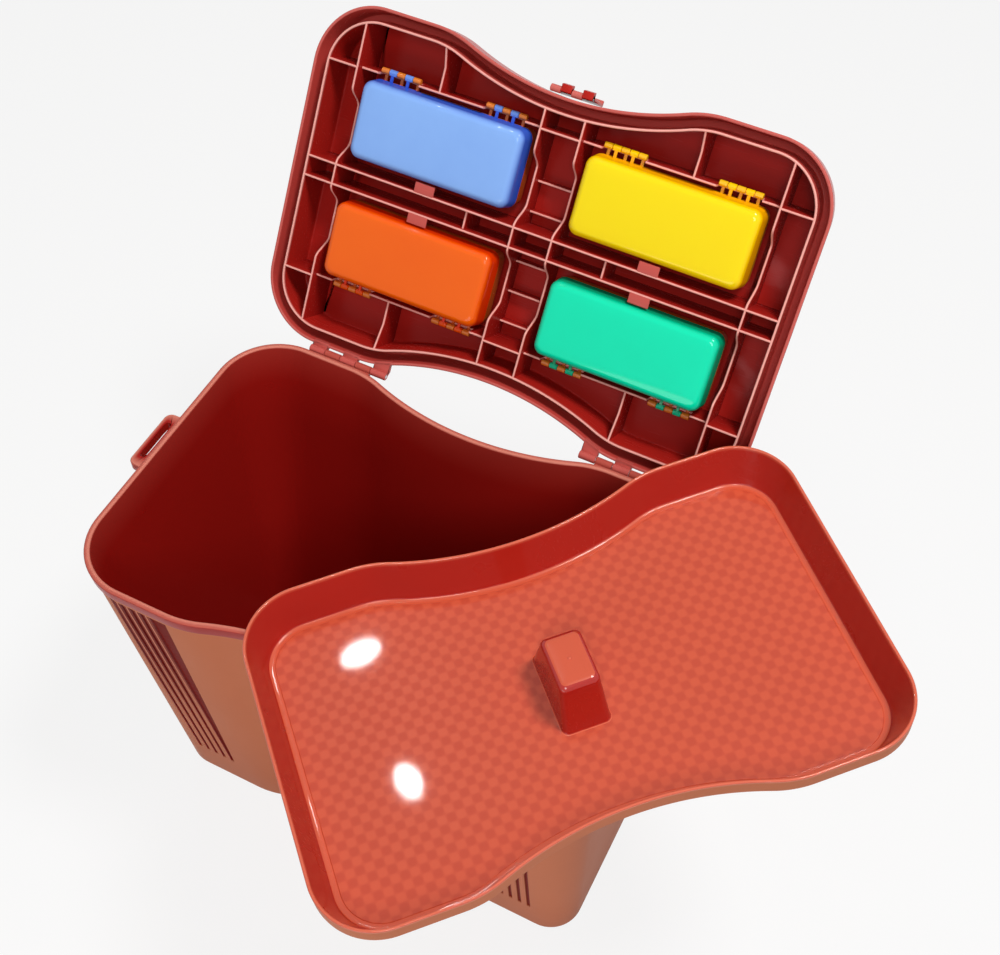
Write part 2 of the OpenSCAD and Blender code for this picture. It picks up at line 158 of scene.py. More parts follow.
def at_height(outline: np.ndarray, z: float) -> np.ndarray:
    """A flat outline lifted to height z."""
    return np.column_stack([outline, np.full(len(outline), z)])


def along_x(loops: Sequence[np.ndarray], places: Sequence[float]) -> np.ndarray:
    """Loops in the yz plane, each set at its place along x."""
    return np.stack([np.column_stack([np.full(len(loop), x), loop])
                     for loop, x in zip(loops, places)])


def polar(radius: float, angles: np.ndarray) -> np.ndarray:
    """Points on a circle about 0, 0 at the given angles."""
    return radius * np.column_stack([np.cos(angles), np.sin(angles)])


def mirrored_in_x(half: np.ndarray) -> np.ndarray:
    """A closed loop from a half that runs from the +x axis to the -x axis."""
    return np.concatenate([half, half[-2:0:-1] * (1, -1)])


def mirrored(quarter: np.ndarray) -> np.ndarray:
    """The full ring of a quarter outline that runs from the +x axis to the +y axis."""
    return mirrored_in_x(np.concatenate([quarter, quarter[-2::-1] * (-1, 1)]))


def round_rect(half_x: float, half_y: float, radius: float, steps: int = 6) -> np.ndarray:
    """A rectangle with quarter-circle corners and ends that bulge by a hair, as a ring.

    Args:
        half_x: half its size along x.
        half_y: half its size along y.
        radius: radius of the corners.
        steps: flats in each corner.

    Returns:
        The ring, anticlockwise from its +x end.
    """
    arc = polar(radius, np.linspace(0, math.pi / 2, steps + 1))
    arc += (half_x - radius, half_y - radius)
    return mirrored(np.concatenate([[[half_x + BULGE, 0]], arc, [[0, half_y]]]))


def fillet(corners: Sequence[Sequence[float]], radii: Sequence[float],
           steps: int = 4) -> np.ndarray:
    """Rounds the inner corners of an open line with arcs tangent to both legs.

    The arc's centre lies on the bisector, and its points turn evenly from leg to leg.

    Args:
        corners: the line's points, two numbers each.
        radii: one radius for each point; the ends' are not used.
        steps: flats in each arc.

    Returns:
        The rounded line.
    """
    line = np.asarray(corners, float)
    out = [line[:1]]
    for p, before, after, r in zip(line[1:-1], line[:-2], line[2:], radii[1:-1]):
        u, v = before - p, after - p
        lu, lv = np.linalg.norm(u), np.linalg.norm(v)
        u, v = u / lu, v / lv
        half = math.acos(float(np.clip(u @ v, -1, 1))) / 2
        cut = min(r / math.tan(half), 0.48 * lu, 0.48 * lv) if half < 1.5 else 0.0
        if cut < 1e-6:
            out.append(p[None])
            continue
        centre = p + (u + v) / np.linalg.norm(u + v) * cut / math.cos(half)
        a, b = p + u * cut - centre, p + v * cut - centre
        turn = math.pi - 2 * half
        t = np.linspace(0, 1, steps + 1)[:, None]
        out.append(centre + (np.sin((1 - t) * turn) * a + np.sin(t * turn) * b) / math.sin(turn))
    out.append(line[-1:])
    return np.concatenate(out)


def shrunk(loop: np.ndarray, by: float) -> np.ndarray:
    """A closed anticlockwise loop with each point moved inwards along its normal.

    Args:
        loop: the loop's points.
        by: how far each point moves.

    Returns:
        The smaller loop.
    """
    along = np.roll(loop, -1, axis=0) - np.roll(loop, 1, axis=0)
    along /= np.linalg.norm(along, axis=1, keepdims=True) + 1e-12
    return loop + by * np.stack([-along[:, 1], along[:, 0]], axis=-1)


def extruded(loops: Sequence[np.ndarray], xs: Sequence[float], bevel: float) -> Surface:
    """A solid between two loops in the yz plane, with bevelled ends and a hub in each.

    Args:
        loops: the loop at each end, anticlockwise about its mean point.
        xs: where the two ends lie.
        bevel: size of the bevel at each end.

    Returns:
        The closed surface.
    """
    first, last = loops
    rings = [shrunk(first, bevel), first, last, shrunk(last, bevel)]
    places = [xs[0], xs[0] + bevel, xs[1] - bevel, xs[1]]
    points = along_x(rings, places)
    skin = grid(points, around=True)
    n = len(first)
    hubs = np.stack([points[0].mean(axis=0), points[-1].mean(axis=0)])
    i, j = np.arange(n), (np.arange(n) + 1) % n
    start = np.stack([j, i, np.full(n, 4 * n)], axis=-1)
    end = np.stack([i + 3 * n, j + 3 * n, np.full(n, 4 * n + 1)], axis=-1)
    return Surface(np.concatenate([skin.points, hubs]), skin.quads,
                   np.concatenate([start, end]), np.zeros(4 * n + 2)).outward()


def bored(loops: Sequence[np.ndarray], hole: np.ndarray, xs: Sequence[float],
          bevel: float) -> Surface:
    """A solid between two loops with a hole through it: outside, face, hole, face, closed.

    Args:
        loops: the outline at each end.
        hole: the hole's outline, with as many points.
        xs: where the two ends lie.
        bevel: size of the bevel at each end.

    Returns:
        The closed surface.
    """
    first, last = loops
    rings = [shrunk(first, bevel), first, last, shrunk(last, bevel), hole, hole]
    places = [xs[0], xs[0] + bevel, xs[1] - bevel, xs[1], xs[1], xs[0]]
    return grid(along_x(rings, places), around=True, closed=True).outward()


def brick(low: Sequence[float], high: Sequence[float], radius: float) -> Surface:
    """A block whose four long edges are rounded and whose ends are bevelled.

    Args:
        low: its lowest corner.
        high: its highest corner.
        radius: radius of the long edges.

    Returns:
        The block.
    """
    half, middle = np.subtract(high, low) / 2, np.add(high, low) / 2
    loop = round_rect(half[1], half[2], radius, 3) + middle[1:]
    return extruded([loop, loop], [low[0], high[0]], min(radius * 0.6, half[0] * 0.4))


@dataclass(frozen=True)
class Plan:
    """The waisted outline: straight ends, round corners, soft creases and two waist bows."""

    half_len: float = 200.0
    half_dep: float = 127.5
    corner_r: float = 48.0
    waist_depth: float = 20.5
    waist_half: float = 112.0
    crease_r: float = 80.0
    side_from: float = 163.0
    side_points: int = 56

    @property
    def waist_r(self) -> float:
        """Radius of the waist bow that is tangent to both creases."""
        chord = (self.waist_half**2 + self.waist_depth**2) / (2 * self.waist_depth)
        return chord - self.crease_r

    def half_width(self, x: np.ndarray, inset: float) -> np.ndarray:
        """Half width of the outline at x: bow, crease, straight, then corner circle.

        Args:
            x: distances from the middle, not negative.
            inset: how far the outline is drawn in.

        Returns:
            The half width at each x.
        """
        length, depth = self.half_len - inset, self.half_dep - inset
        radius, bend, bow = self.corner_r - inset, self.crease_r - inset, self.waist_r + inset
        turn = math.asin(self.waist_half / (self.waist_r + self.crease_r))
        bow_y = self.half_dep - self.waist_depth + self.waist_r

        def height(r: float, offset: np.ndarray) -> np.ndarray:
            """Height of a circle at an offset from its middle."""
            return np.sqrt(np.clip(r * r - offset * offset, 0, None))

        return np.select(
            [x <= bow * math.sin(turn), x < self.waist_half, x <= length - radius],
            [bow_y - height(bow, x), self.half_dep - self.crease_r
             + height(bend, self.waist_half - x), np.full_like(x, depth)],
            depth - radius + height(radius, x - (length - radius)))

    def ring(self, inset: float, columns: np.ndarray | None = None) -> np.ndarray:
        """The outline as a ring: end, corner up to the first column, then the columns.

        Args:
            inset: how far the outline is drawn in.
            columns: x of the long side's points, falling to 0.

        Returns:
            The ring, mirrored in both axes.
        """
        if columns is None:
            columns = np.linspace(self.side_from, 0, self.side_points)
        length, depth, r = self.half_len - inset, self.half_dep - inset, self.corner_r - inset
        stop = math.acos(min(1.0, max(0.0, (columns[0] - length + r) / r)))
        a = np.linspace(0, stop, 16, endpoint=False)
        end = np.column_stack([length + np.array([BULGE, 0, 0, 0]),
                               np.linspace(0, depth - r, 4, endpoint=False)])
        corner = polar(r, a) + (length - r, depth - r)
        side = np.column_stack([columns, self.half_width(columns, inset)])
        return mirrored(np.concatenate([end, corner, side]))

    def carried(self, profile: np.ndarray, tone: np.ndarray) -> Surface:
        """A skin through a profile of (inset, height) pairs, with a tone for each of them.

        Args:
            profile: pairs of inset and height.
            tone: the tone of each pair.

        Returns:
            The closed surface.
        """
        rings = np.stack([at_height(self.ring(inset), z) for inset, z in profile])
        made = loft(rings)
        made.tone = np.repeat(tone, rings.shape[1])
        return made


@dataclass(frozen=True)
class Rib:
    """A thin wall with a rounded free edge whose height may change along it.

    The section is a U: up one face, half a circle over the free edge, down the other face.
    It is carried along a straight line, and its edge follows edge_at.
    """

    thick: float = 1.8
    root: float = 34.3
    flare: float = 0.15
    shoulder: float = 2.4
    # painted shade at the rib's foot, turning to a painted highlight along its rounded free edge
    tones: tuple = (0.9, 0.2, 0.1, -0.6, -0.9, -1, -0.9, -0.6, 0.1, 0.2, 0.9)

    def along(self, start: Sequence[float], stop: Sequence[float], stations: np.ndarray,
              edge_at: Callable[[np.ndarray], np.ndarray]) -> Surface:
        """The rib from start to stop.

        Args:
            start: x and y of its first end.
            stop: x and y of its last end.
            stations: distances along it where it has a section.
            edge_at: height of the free edge at a distance along it.

        Returns:
            The rib's surface, with both ends closed.
        """
        a, b = np.asarray(start, float), np.asarray(stop, float)
        way = (b - a) / np.linalg.norm(b - a)
        side = np.array([-way[1], way[0]])
        r = self.thick / 2
        turn = np.linspace(math.pi, 0, 7)
        foot = r + self.flare
        across = np.concatenate([[-foot, -r], r * np.cos(turn), [r, foot]])
        rise = np.concatenate([[0, self.shoulder], r - r * np.sin(turn), [self.shoulder, 0]])
        edge = edge_at(stations)
        down = np.concatenate([[1.0], np.zeros(9), [1.0]])
        z = (edge[:, None] + rise) * (1 - down) + self.root * down
        xy = a + stations[:, None, None] * way + across[None, :, None] * side
        points = np.concatenate([xy, z[..., None]], axis=-1)
        skin = grid(points, around=True)
        n = points.shape[1]
        strip = np.arange(n // 2)
        cap = np.stack([strip, strip + 1, n - 2 - strip, n - 1 - strip], axis=-1)
        last = (len(stations) - 1) * n
        skin.quads = np.concatenate([skin.quads, cap[:, ::-1], cap + last])
        skin.tone = np.tile(self.tones, len(stations))
        return skin.outward()


# ---- placing --------------------------------------------------------------------------------


def turned(axis: int, degrees: float) -> np.ndarray:
    """A 4 by 4 turn about x, y or z, given as 0, 1 or 2."""
    return np.array(Matrix.Rotation(math.radians(degrees), 4, "XYZ"[axis]))


def shifted(x: float, y: float, z: float) -> np.ndarray:
    """A 4 by 4 shift."""
    return np.array(Matrix.Translation((x, y, z)))


@dataclass(frozen=True)
class Sizes:
    """Sizes that several pieces share."""

    rim: float = 355.0
    hinge_y: float = 132.7
    hinge_drop: float = 1.9
    lid_open: float = 124.0
    lid_gap: float = 0.4
    frame_shift: float = 2.5
    inner_wall: float = 9.1
    rib: float = 1.8
    ceiling: float = 34.0
    hinge_x: float = 117.0
    knuckle_len: float = 13.2
    knuckle_gap: float = 0.5
    knuckle_r: float = 3.1
    pin_r: float = 1.3
    case_x: float = 90.5
    case_hinge_x: float = 43.5

    def on_lid(self) -> np.ndarray:
        """From the closed lid's frame, with its lip at height 0, to the open lid.

        Returns:
            The 4 by 4 matrix.
        """
        return (shifted(0, self.hinge_y, self.rim - self.hinge_drop)
                @ turned(0, -self.lid_open)
                @ shifted(0, -self.hinge_y, self.hinge_drop + self.lid_gap))


SIZES = Sizes()
PLAN = Plan()


def circle(radius: float, steps: int) -> np.ndarray:
    """A circle in the yz plane, anticlockwise from the +y axis."""
    return polar(radius, np.linspace(0, 2 * math.pi, steps, endpoint=False))


def knuckle_loop(radius: float, arm_low: float, arm_high: float, arm_end: float,
                 steps: int = 28) -> tuple[np.ndarray, np.ndarray]:
    """The outline of a knuckle with an arm towards -y, and the angles of its points.

    The circle runs from the arm's lower face round to its upper face, then the arm's corners.

    Args:
        radius: radius of the barrel.
        arm_low: lower face of the arm above the pin.
        arm_high: upper face of the arm above the pin.
        arm_end: y of the arm's far end.
        steps: points on the barrel.

    Returns:
        The loop, and the angle of each of its points about the pin.
    """
    low = math.asin(max(-1.0, min(1.0, arm_low / radius)))
    high = math.asin(max(-1.0, min(1.0, arm_high / radius)))
    a = np.linspace(-math.pi - low, math.pi - high, steps)
    barrel = polar(radius, a)
    root = min(barrel[-1, 0], barrel[0, 0], 0.0) - 0.4
    spread = np.linspace(root, arm_end, 3)
    arm = np.concatenate([np.column_stack([spread, np.full(3, arm_high)]),
                          np.column_stack([spread[::-1], np.full(3, arm_low)])])
    angles = np.concatenate([a, np.linspace(a[-1], a[0] + 2 * math.pi, 8)[1:-1]])
    return np.concatenate([barrel, arm]), angles


def knuckle(xs: Sequence[float], radius: float, bore: float, arm: Sequence[float],
            arm_ends: Sequence[float]) -> Surface:
    """One hinge knuckle on its arm, bored for the pin.

    Args:
        xs: its two ends along the pin.
        radius: radius of the barrel.
        bore: radius of the hole.
        arm: lower and upper face of the arm above the pin.
        arm_ends: y of the arm's far end at each end of the knuckle.

    Returns:
        The knuckle, with the pin's axis along x through 0, 0.
    """
    loops = [knuckle_loop(radius, arm[0], arm[1], end)[0] for end in arm_ends]
    angles = knuckle_loop(radius, arm[0], arm[1], arm_ends[0])[1]
    return bored(loops, polar(bore, angles), xs, KNUCKLE_BEVEL)


def main_knuckles(which: Sequence[int], arm: Sequence[float], inset: float) -> Surface:
    """The knuckles of both main hinges that belong to the box or to the lid.

    Args:
        which: the places along a hinge, of 0 to 4.
        arm: lower and upper face of the arms above the pin.
        inset: how deep the arms reach into the wall.

    Returns:
        The knuckles with their pins' axis along x through 0, 0.
    """
    s = SIZES
    made = []
    for side in (-1, 1):
        for i in which:
            x = side * s.hinge_x - 2.5 * s.knuckle_len - 2 * s.knuckle_gap
            x += i * (s.knuckle_len + s.knuckle_gap)
            xs = np.array([x, x + s.knuckle_len])
            ends = PLAN.half_width(np.abs(xs), inset) - s.hinge_y
            made.append(knuckle(xs, s.knuckle_r, s.pin_r, arm, ends))
            # a painted highlight: the knuckles are painted a little paler
            made[-1].tone[:] = -0.2
    return Surface.join(made)


# ---- materials ------------------------------------------------------------------------------


class Wire:
    """A value in a material's graph; arithmetic on it adds Math nodes."""

    def __init__(self, graph: "Graph", socket: bpy.types.NodeSocket) -> None:
        """Keeps the graph and the output socket that carries the value."""
        self.graph, self.socket = graph, socket

    def _math(self, operation: str, first: "Wire | float", second: "Wire | float") -> "Wire":
        """Adds a Math node."""
        return self.graph.node("ShaderNodeMath", {"operation": operation},
                               {0: first, 1: second})

    def __add__(self, other: "Wire | float") -> "Wire":
        """The sum."""
        return self._math("ADD", self, other)

    def __sub__(self, other: "Wire | float") -> "Wire":
        """The difference."""
        return self._math("SUBTRACT", self, other)

    def __rsub__(self, other: float) -> "Wire":
        """The difference, with the wire taken from a number."""
        return self._math("SUBTRACT", other, self)

    def __mul__(self, other: "Wire | float") -> "Wire":
        """The product."""
        return self._math("MULTIPLY", self, other)

    __radd__ = __add__
    __rmul__ = __mul__

    def fn(self, operation: str, other: "Wire | float" = 0.0) -> "Wire":
        """Any other Math operation on the wire."""
        return self._math(operation, self, other)


class Graph:
    """The nodes of a material or of the world."""

    def __init__(self, owner: bpy.types.Material | bpy.types.World) -> None:
        """Empties the owner's node tree.

        Args:
            owner: the material or the world.
        """
        owner.use_nodes = True
        self.owner, self.tree = owner, owner.node_tree
        self.tree.nodes.clear()

    def node(self, kind: str, settings: dict | None = None, sockets: dict | None = None,
             output: int | str = 0) -> Wire:
        """Adds a node.

        Args:
            kind: the node's type.
            settings: attributes set first; "stops" gives a ramp's positions and colours.
            sockets: values or wires, by socket name or number.
            output: which output to return.

        Returns:
            The output as a wire.
        """
        made = self.tree.nodes.new(kind)
        for key, value in (settings or {}).items():
            if key == "stops":
                elements = made.color_ramp.elements
                while len(elements) < len(value):
                    elements.new(0.5)
                for element, (position, colour) in zip(elements, value):
                    element.position, element.color = position, colour
            else:
                setattr(made, key, value)
        for key, value in (sockets or {}).items():
            if isinstance(value, Wire):
                self.tree.links.new(value.socket, made.inputs[key])
            else:
                made.inputs[key].default_value = value
        return Wire(self, made.outputs[output]) if len(made.outputs) else Wire(self, None)

    def mix(self, factor: Wire | float, a: "Wire | tuple", b: "Wire | tuple") -> Wire:
        """A colour between a and b."""
        return self.node("ShaderNodeMix", {"data_type": "RGBA"}, {0: factor, 6: a, 7: b}, 2)

    def noise(self, where: Wire, scale: float, detail: float = 3.0) -> Wire:
        """Noise from 0 to 1 at a scale in cycles per metre."""
        return self.node("ShaderNodeTexNoise", {},
                         {"Vector": where, "Scale": scale, "Detail": detail})

    def place(self, turn: float = 0.0, stretch: Sequence[float] = (1, 1, 1)) -> Wire:
        """Object coordinates in metres, turned about z and stretched.

        Args:
            turn: angle about z in degrees.
            stretch: scale along each axis.

        Returns:
            The coordinates.
        """
        where = self.node("ShaderNodeTexCoord", output="Object")
        return self.node("ShaderNodeMapping", {}, {
            "Vector": where, "Rotation": (0, 0, math.radians(turn)), "Scale": tuple(stretch)})

    def surface(self, sockets: dict) -> bpy.types.Material:
        """Ends the graph with a Principled shader and returns the material.

        Args:
            sockets: the shader's values or wires, by name.

        Returns:
            The material.
        """
        shader = self.node("ShaderNodeBsdfPrincipled", {}, sockets)
        self.node("ShaderNodeOutputMaterial", {}, {"Surface": shader})
        return self.owner

    def seen(self) -> Wire:
        """1 where the camera, a mirror or a clear thing sees the surface, else 0.

        Returns:
            The share as a wire.
        """
        share = self.node("ShaderNodeLightPath", output="Is Camera Ray")
        outputs = share.socket.node.outputs
        for word in ("Is Glossy Ray", "Is Transmission Ray"):
            share = share.fn("MAXIMUM", Wire(self, outputs[word]))
        return share


@dataclass(frozen=True)
class Moulded:
    """Glossy moulded plastic: slow mottling, faint scuffs, an orange-peel skin, and painted shade
    and highlights set by the tone.
    """

    name: str
    colour: tuple
    # deep is the colour of the mottling and of painted shade where the tone is above 0; pale is
    # the colour of painted highlights where the tone is below 0
    deep: tuple
    pale: tuple = (0.9, 0.42, 0.36)
    gloss: float = 0.5
    rough: float = 0.2
    coat: float = 0.0
    mottle: float = 0.35
    scuffs: float = 0.12
    peel: float = 0.12

    def colour_of(self, g: Graph, tone: Wire) -> Wire:
        """Mottled colour, with painted shade where the tone is above 0 and a painted highlight
        where it is below 0.

        Args:
            g: the material's graph.
            tone: the tone attribute.

        Returns:
            The base colour.
        """
        blotch = g.noise(g.place(), 9.0, 4.0)
        fine = g.noise(g.place(), 70.0, 2.0)
        share = (blotch - 0.5) * self.mottle + (fine - 0.5) * (0.3 * self.mottle)
        # painted shade: a tone above 0 pushes the colour towards the deep one
        share = share + tone.fn("MAXIMUM")
        body = g.mix(share.fn("MAXIMUM").fn("MINIMUM", 1.0), self.colour + (1,),
                     self.deep + (1,))
        # painted highlight: a tone below 0 pushes the colour towards the pale one
        return g.mix((tone * -1.0).fn("MAXIMUM"), body, self.pale + (1,))

    def bump_of(self, g: Graph, tone: Wire) -> Wire:
        """Orange peel about a millimetre across.

        Args:
            g: the material's graph.
            tone: the tone attribute; not used.

        Returns:
            The normal.
        """
        skin = g.noise(g.place(), 420.0, 2.0)
        return g.node("ShaderNodeBump", {}, {"Strength": self.peel, "Distance": 0.0004,
                                             "Height": skin})

    def rough_of(self, g: Graph, tone: Wire) -> Wire:
        """Roughness with handling marks and fine scuffs.

        Args:
            g: the material's graph.
            tone: the tone attribute; not used.

        Returns:
            The roughness.
        """
        haze = g.noise(g.place(), 16.0, 3.0)
        lines = g.noise(g.place(23.0, (40, 900, 300)), 1.0, 2.0)
        scuff = (lines - 0.62).fn("MAXIMUM") * (self.scuffs * 4)
        return (haze - 0.5) * 0.12 + scuff + self.rough

    def dress(self) -> bpy.types.Material:
        """Builds the material.

        Returns:
            The material.
        """
        g = Graph(bpy.data.materials.new(self.name))
        tone = g.node("ShaderNodeAttribute", {"attribute_name": "tone"}, output="Fac")
        return g.surface({
            "Base Color": self.colour_of(g, tone),
            "Roughness": self.rough_of(g, tone),
            "Normal": self.bump_of(g, tone),
            "IOR": 1.5,
            "Specular IOR Level": self.gloss,
            "Coat Weight": self.coat,
            "Coat Roughness": 0.04,
        })


@dataclass(frozen=True)
class Checkered(Moulded):
    """Moulded plastic whose toned panel carries a pressed pattern of small squares."""

    pitch: float = 6.3
    turn: float = -46.0

    def squares(self, g: Graph) -> Wire:
        """A soft checkerboard: the product of two sine waves, pushed towards flat squares.

        Args:
            g: the material's graph.

        Returns:
            A pattern from 0 to 1.
        """
        where = g.node("ShaderNodeSeparateXYZ", {}, {0: g.place(self.turn)})
        u = where
        v = Wire(g, where.socket.node.outputs[1])
        wave = math.pi / (self.pitch * MM)
        return ((u * wave).fn("SINE") * (v * wave).fn("SINE") * 3.0).fn("TANH") * 0.5 + 0.5

    def colour_of(self, g: Graph, tone: Wire) -> Wire:
        """The plain colour, with every second square a little deeper, and a painted highlight
        where the tone is below 0.

        Args:
            g: the material's graph.
            tone: the tone attribute.

        Returns:
            The base colour.
        """
        plain = g.mix(g.noise(g.place(), 8.0, 4.0) * self.mottle, self.colour + (1,),
                      self.deep + (1,))
        toned = g.mix(self.squares(g) * tone.fn("MAXIMUM") * 0.36, plain, self.deep + (1,))
        # painted highlight where the tone is below 0
        return g.mix((tone * -1.0).fn("MAXIMUM"), toned, self.pale + (1,))

    def rough_of(self, g: Graph, tone: Wire) -> Wire:
        """The panel is a little rougher than the walls round it."""
        panel = tone.fn("MAXIMUM")
        return super().rough_of(g, tone) + panel * 0.02 + self.squares(g) * panel * 0.06

    def bump_of(self, g: Graph, tone: Wire) -> Wire:
        """Squares pressed a tenth of a millimetre deep, over the orange peel.

        Args:
            g: the material's graph.
            tone: the tone attribute.

        Returns:
            The normal.
        """
        panel = tone.fn("MAXIMUM")
        height = self.squares(g) * panel + g.noise(g.place(), 420.0, 2.0) * 2.0
        return g.node("ShaderNodeBump", {}, {"Strength": self.peel, "Distance": 0.0001,
                                             "Height": height})


@dataclass(frozen=True)
class DrawnWire:
    """Bright drawn steel with fine lines along it."""

    name: str = "drawn_steel"

    def dress(self) -> bpy.types.Material:
        """Builds the material.

        Returns:
            The material.
        """
        g = Graph(bpy.data.materials.new(self.name))
        lines = g.noise(g.place(0, (60, 2500, 2500)), 1.0, 2.0)
        return g.surface({
            "Base Color": g.mix(lines, (0.42, 0.42, 0.44, 1), (0.72, 0.72, 0.74, 1)),
            "Roughness": lines * 0.2 + 0.2,
            "Metallic": 1.0,
            "Normal": g.node("ShaderNodeBump", {}, {"Strength": 0.1, "Distance": 0.0001,
                                                    "Height": lines}),
        })


# One red plastic in copies whose colours stand in for light: a deeper copy inside the box and on
# the bails is painted shade, a tan copy outside and on the tray's skirt is a painted reflection
# of the floor and its bounce light, the tray's walls get a deeper copy as painted shade, and the
# tray's floor is painted lighter as the light on it. Each pale colour is for painted highlights.
BRICK_SHADED = Moulded("brick_shaded", (0.37, 0.01, 0.007), (0.17, 0.004, 0.003),
                   (0.9, 0.36, 0.26), gloss=0.12, rough=0.3, mottle=0.1)
BRICK_FLOOR_REFLECTION = Moulded("brick_floor_reflection", (0.6, 0.195, 0.1), (0.2, 0.012, 0.008), gloss=0.01,
                    rough=0.4, mottle=0.12)
BRICK_LID = Moulded("brick_lid", (0.48, 0.018, 0.012), (0.19, 0.004, 0.004), gloss=0.12,
                    rough=0.25, mottle=0.2)
BRICK_WALL_SHADED = Moulded("brick_tray_wall_shaded", (0.42, 0.014, 0.008), (0.25, 0.006, 0.004),
                     (0.72, 0.14, 0.07), gloss=0.15, rough=0.28, coat=0.7, mottle=0.15, peel=0.07)
BRICK_TRAY = Checkered("brick_tray", (0.62, 0.092, 0.038), (0.37, 0.016, 0.008),
                       (0.72, 0.14, 0.07), gloss=0.15, rough=0.28, coat=0.45, mottle=0.12,
                       peel=0.1)
STEEL = DrawnWire()


# ---- making pieces --------------------------------------------------------------------------


@dataclass
class Piece:
    """A finished surface that stands for CAD nodes and rides on a body."""

    name: str
    body: str
    slot: str
    surface: Surface
    finishes: tuple
    nodes: tuple

    def make(self, pick: Callable[[np.ndarray, np.ndarray], np.ndarray] | None = None
             ) -> bpy.types.Object:
        """Builds the object.

        Args:
            pick: gives a material number for each face, from face centres and normals.

        Returns:
            The object, riding on its body.
        """
        s = self.surface
        mesh = bpy.data.meshes.new(self.name)
        faces = s.quads.tolist() + s.tris.tolist()
        mesh.from_pydata((s.points * MM).tolist(), [], faces)
        tone = mesh.attributes.new("tone", "FLOAT", "POINT")
        tone.data.foreach_set("value", s.tone.astype(np.float32))
        for finish in self.finishes:
            mesh.materials.append(finish)
        mesh.polygons.foreach_set("use_smooth", np.ones(len(faces), bool))
        mesh.update()
        mesh.set_sharp_from_angle(angle=SHARP)
        if pick is not None:
            centres, normals = np.empty(len(faces) * 3), np.empty(len(faces) * 3)
            mesh.polygons.foreach_get("center", centres)
            mesh.polygons.foreach_get("normal", normals)
            number = pick(centres.reshape(-1, 3) / MM, normals.reshape(-1, 3))
            mesh.polygons.foreach_set("material_index", number.astype(np.int32))
        made = bpy.data.objects.new(self.name, mesh)
        bpy.context.scene.collection.objects.link(made)
        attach(made, self.body)
        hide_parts(*self.nodes)
        log.info("%s: %d points on %s", self.name, len(s.points), self.body)
        return made


# ---- the box --------------------------------------------------------------------------------


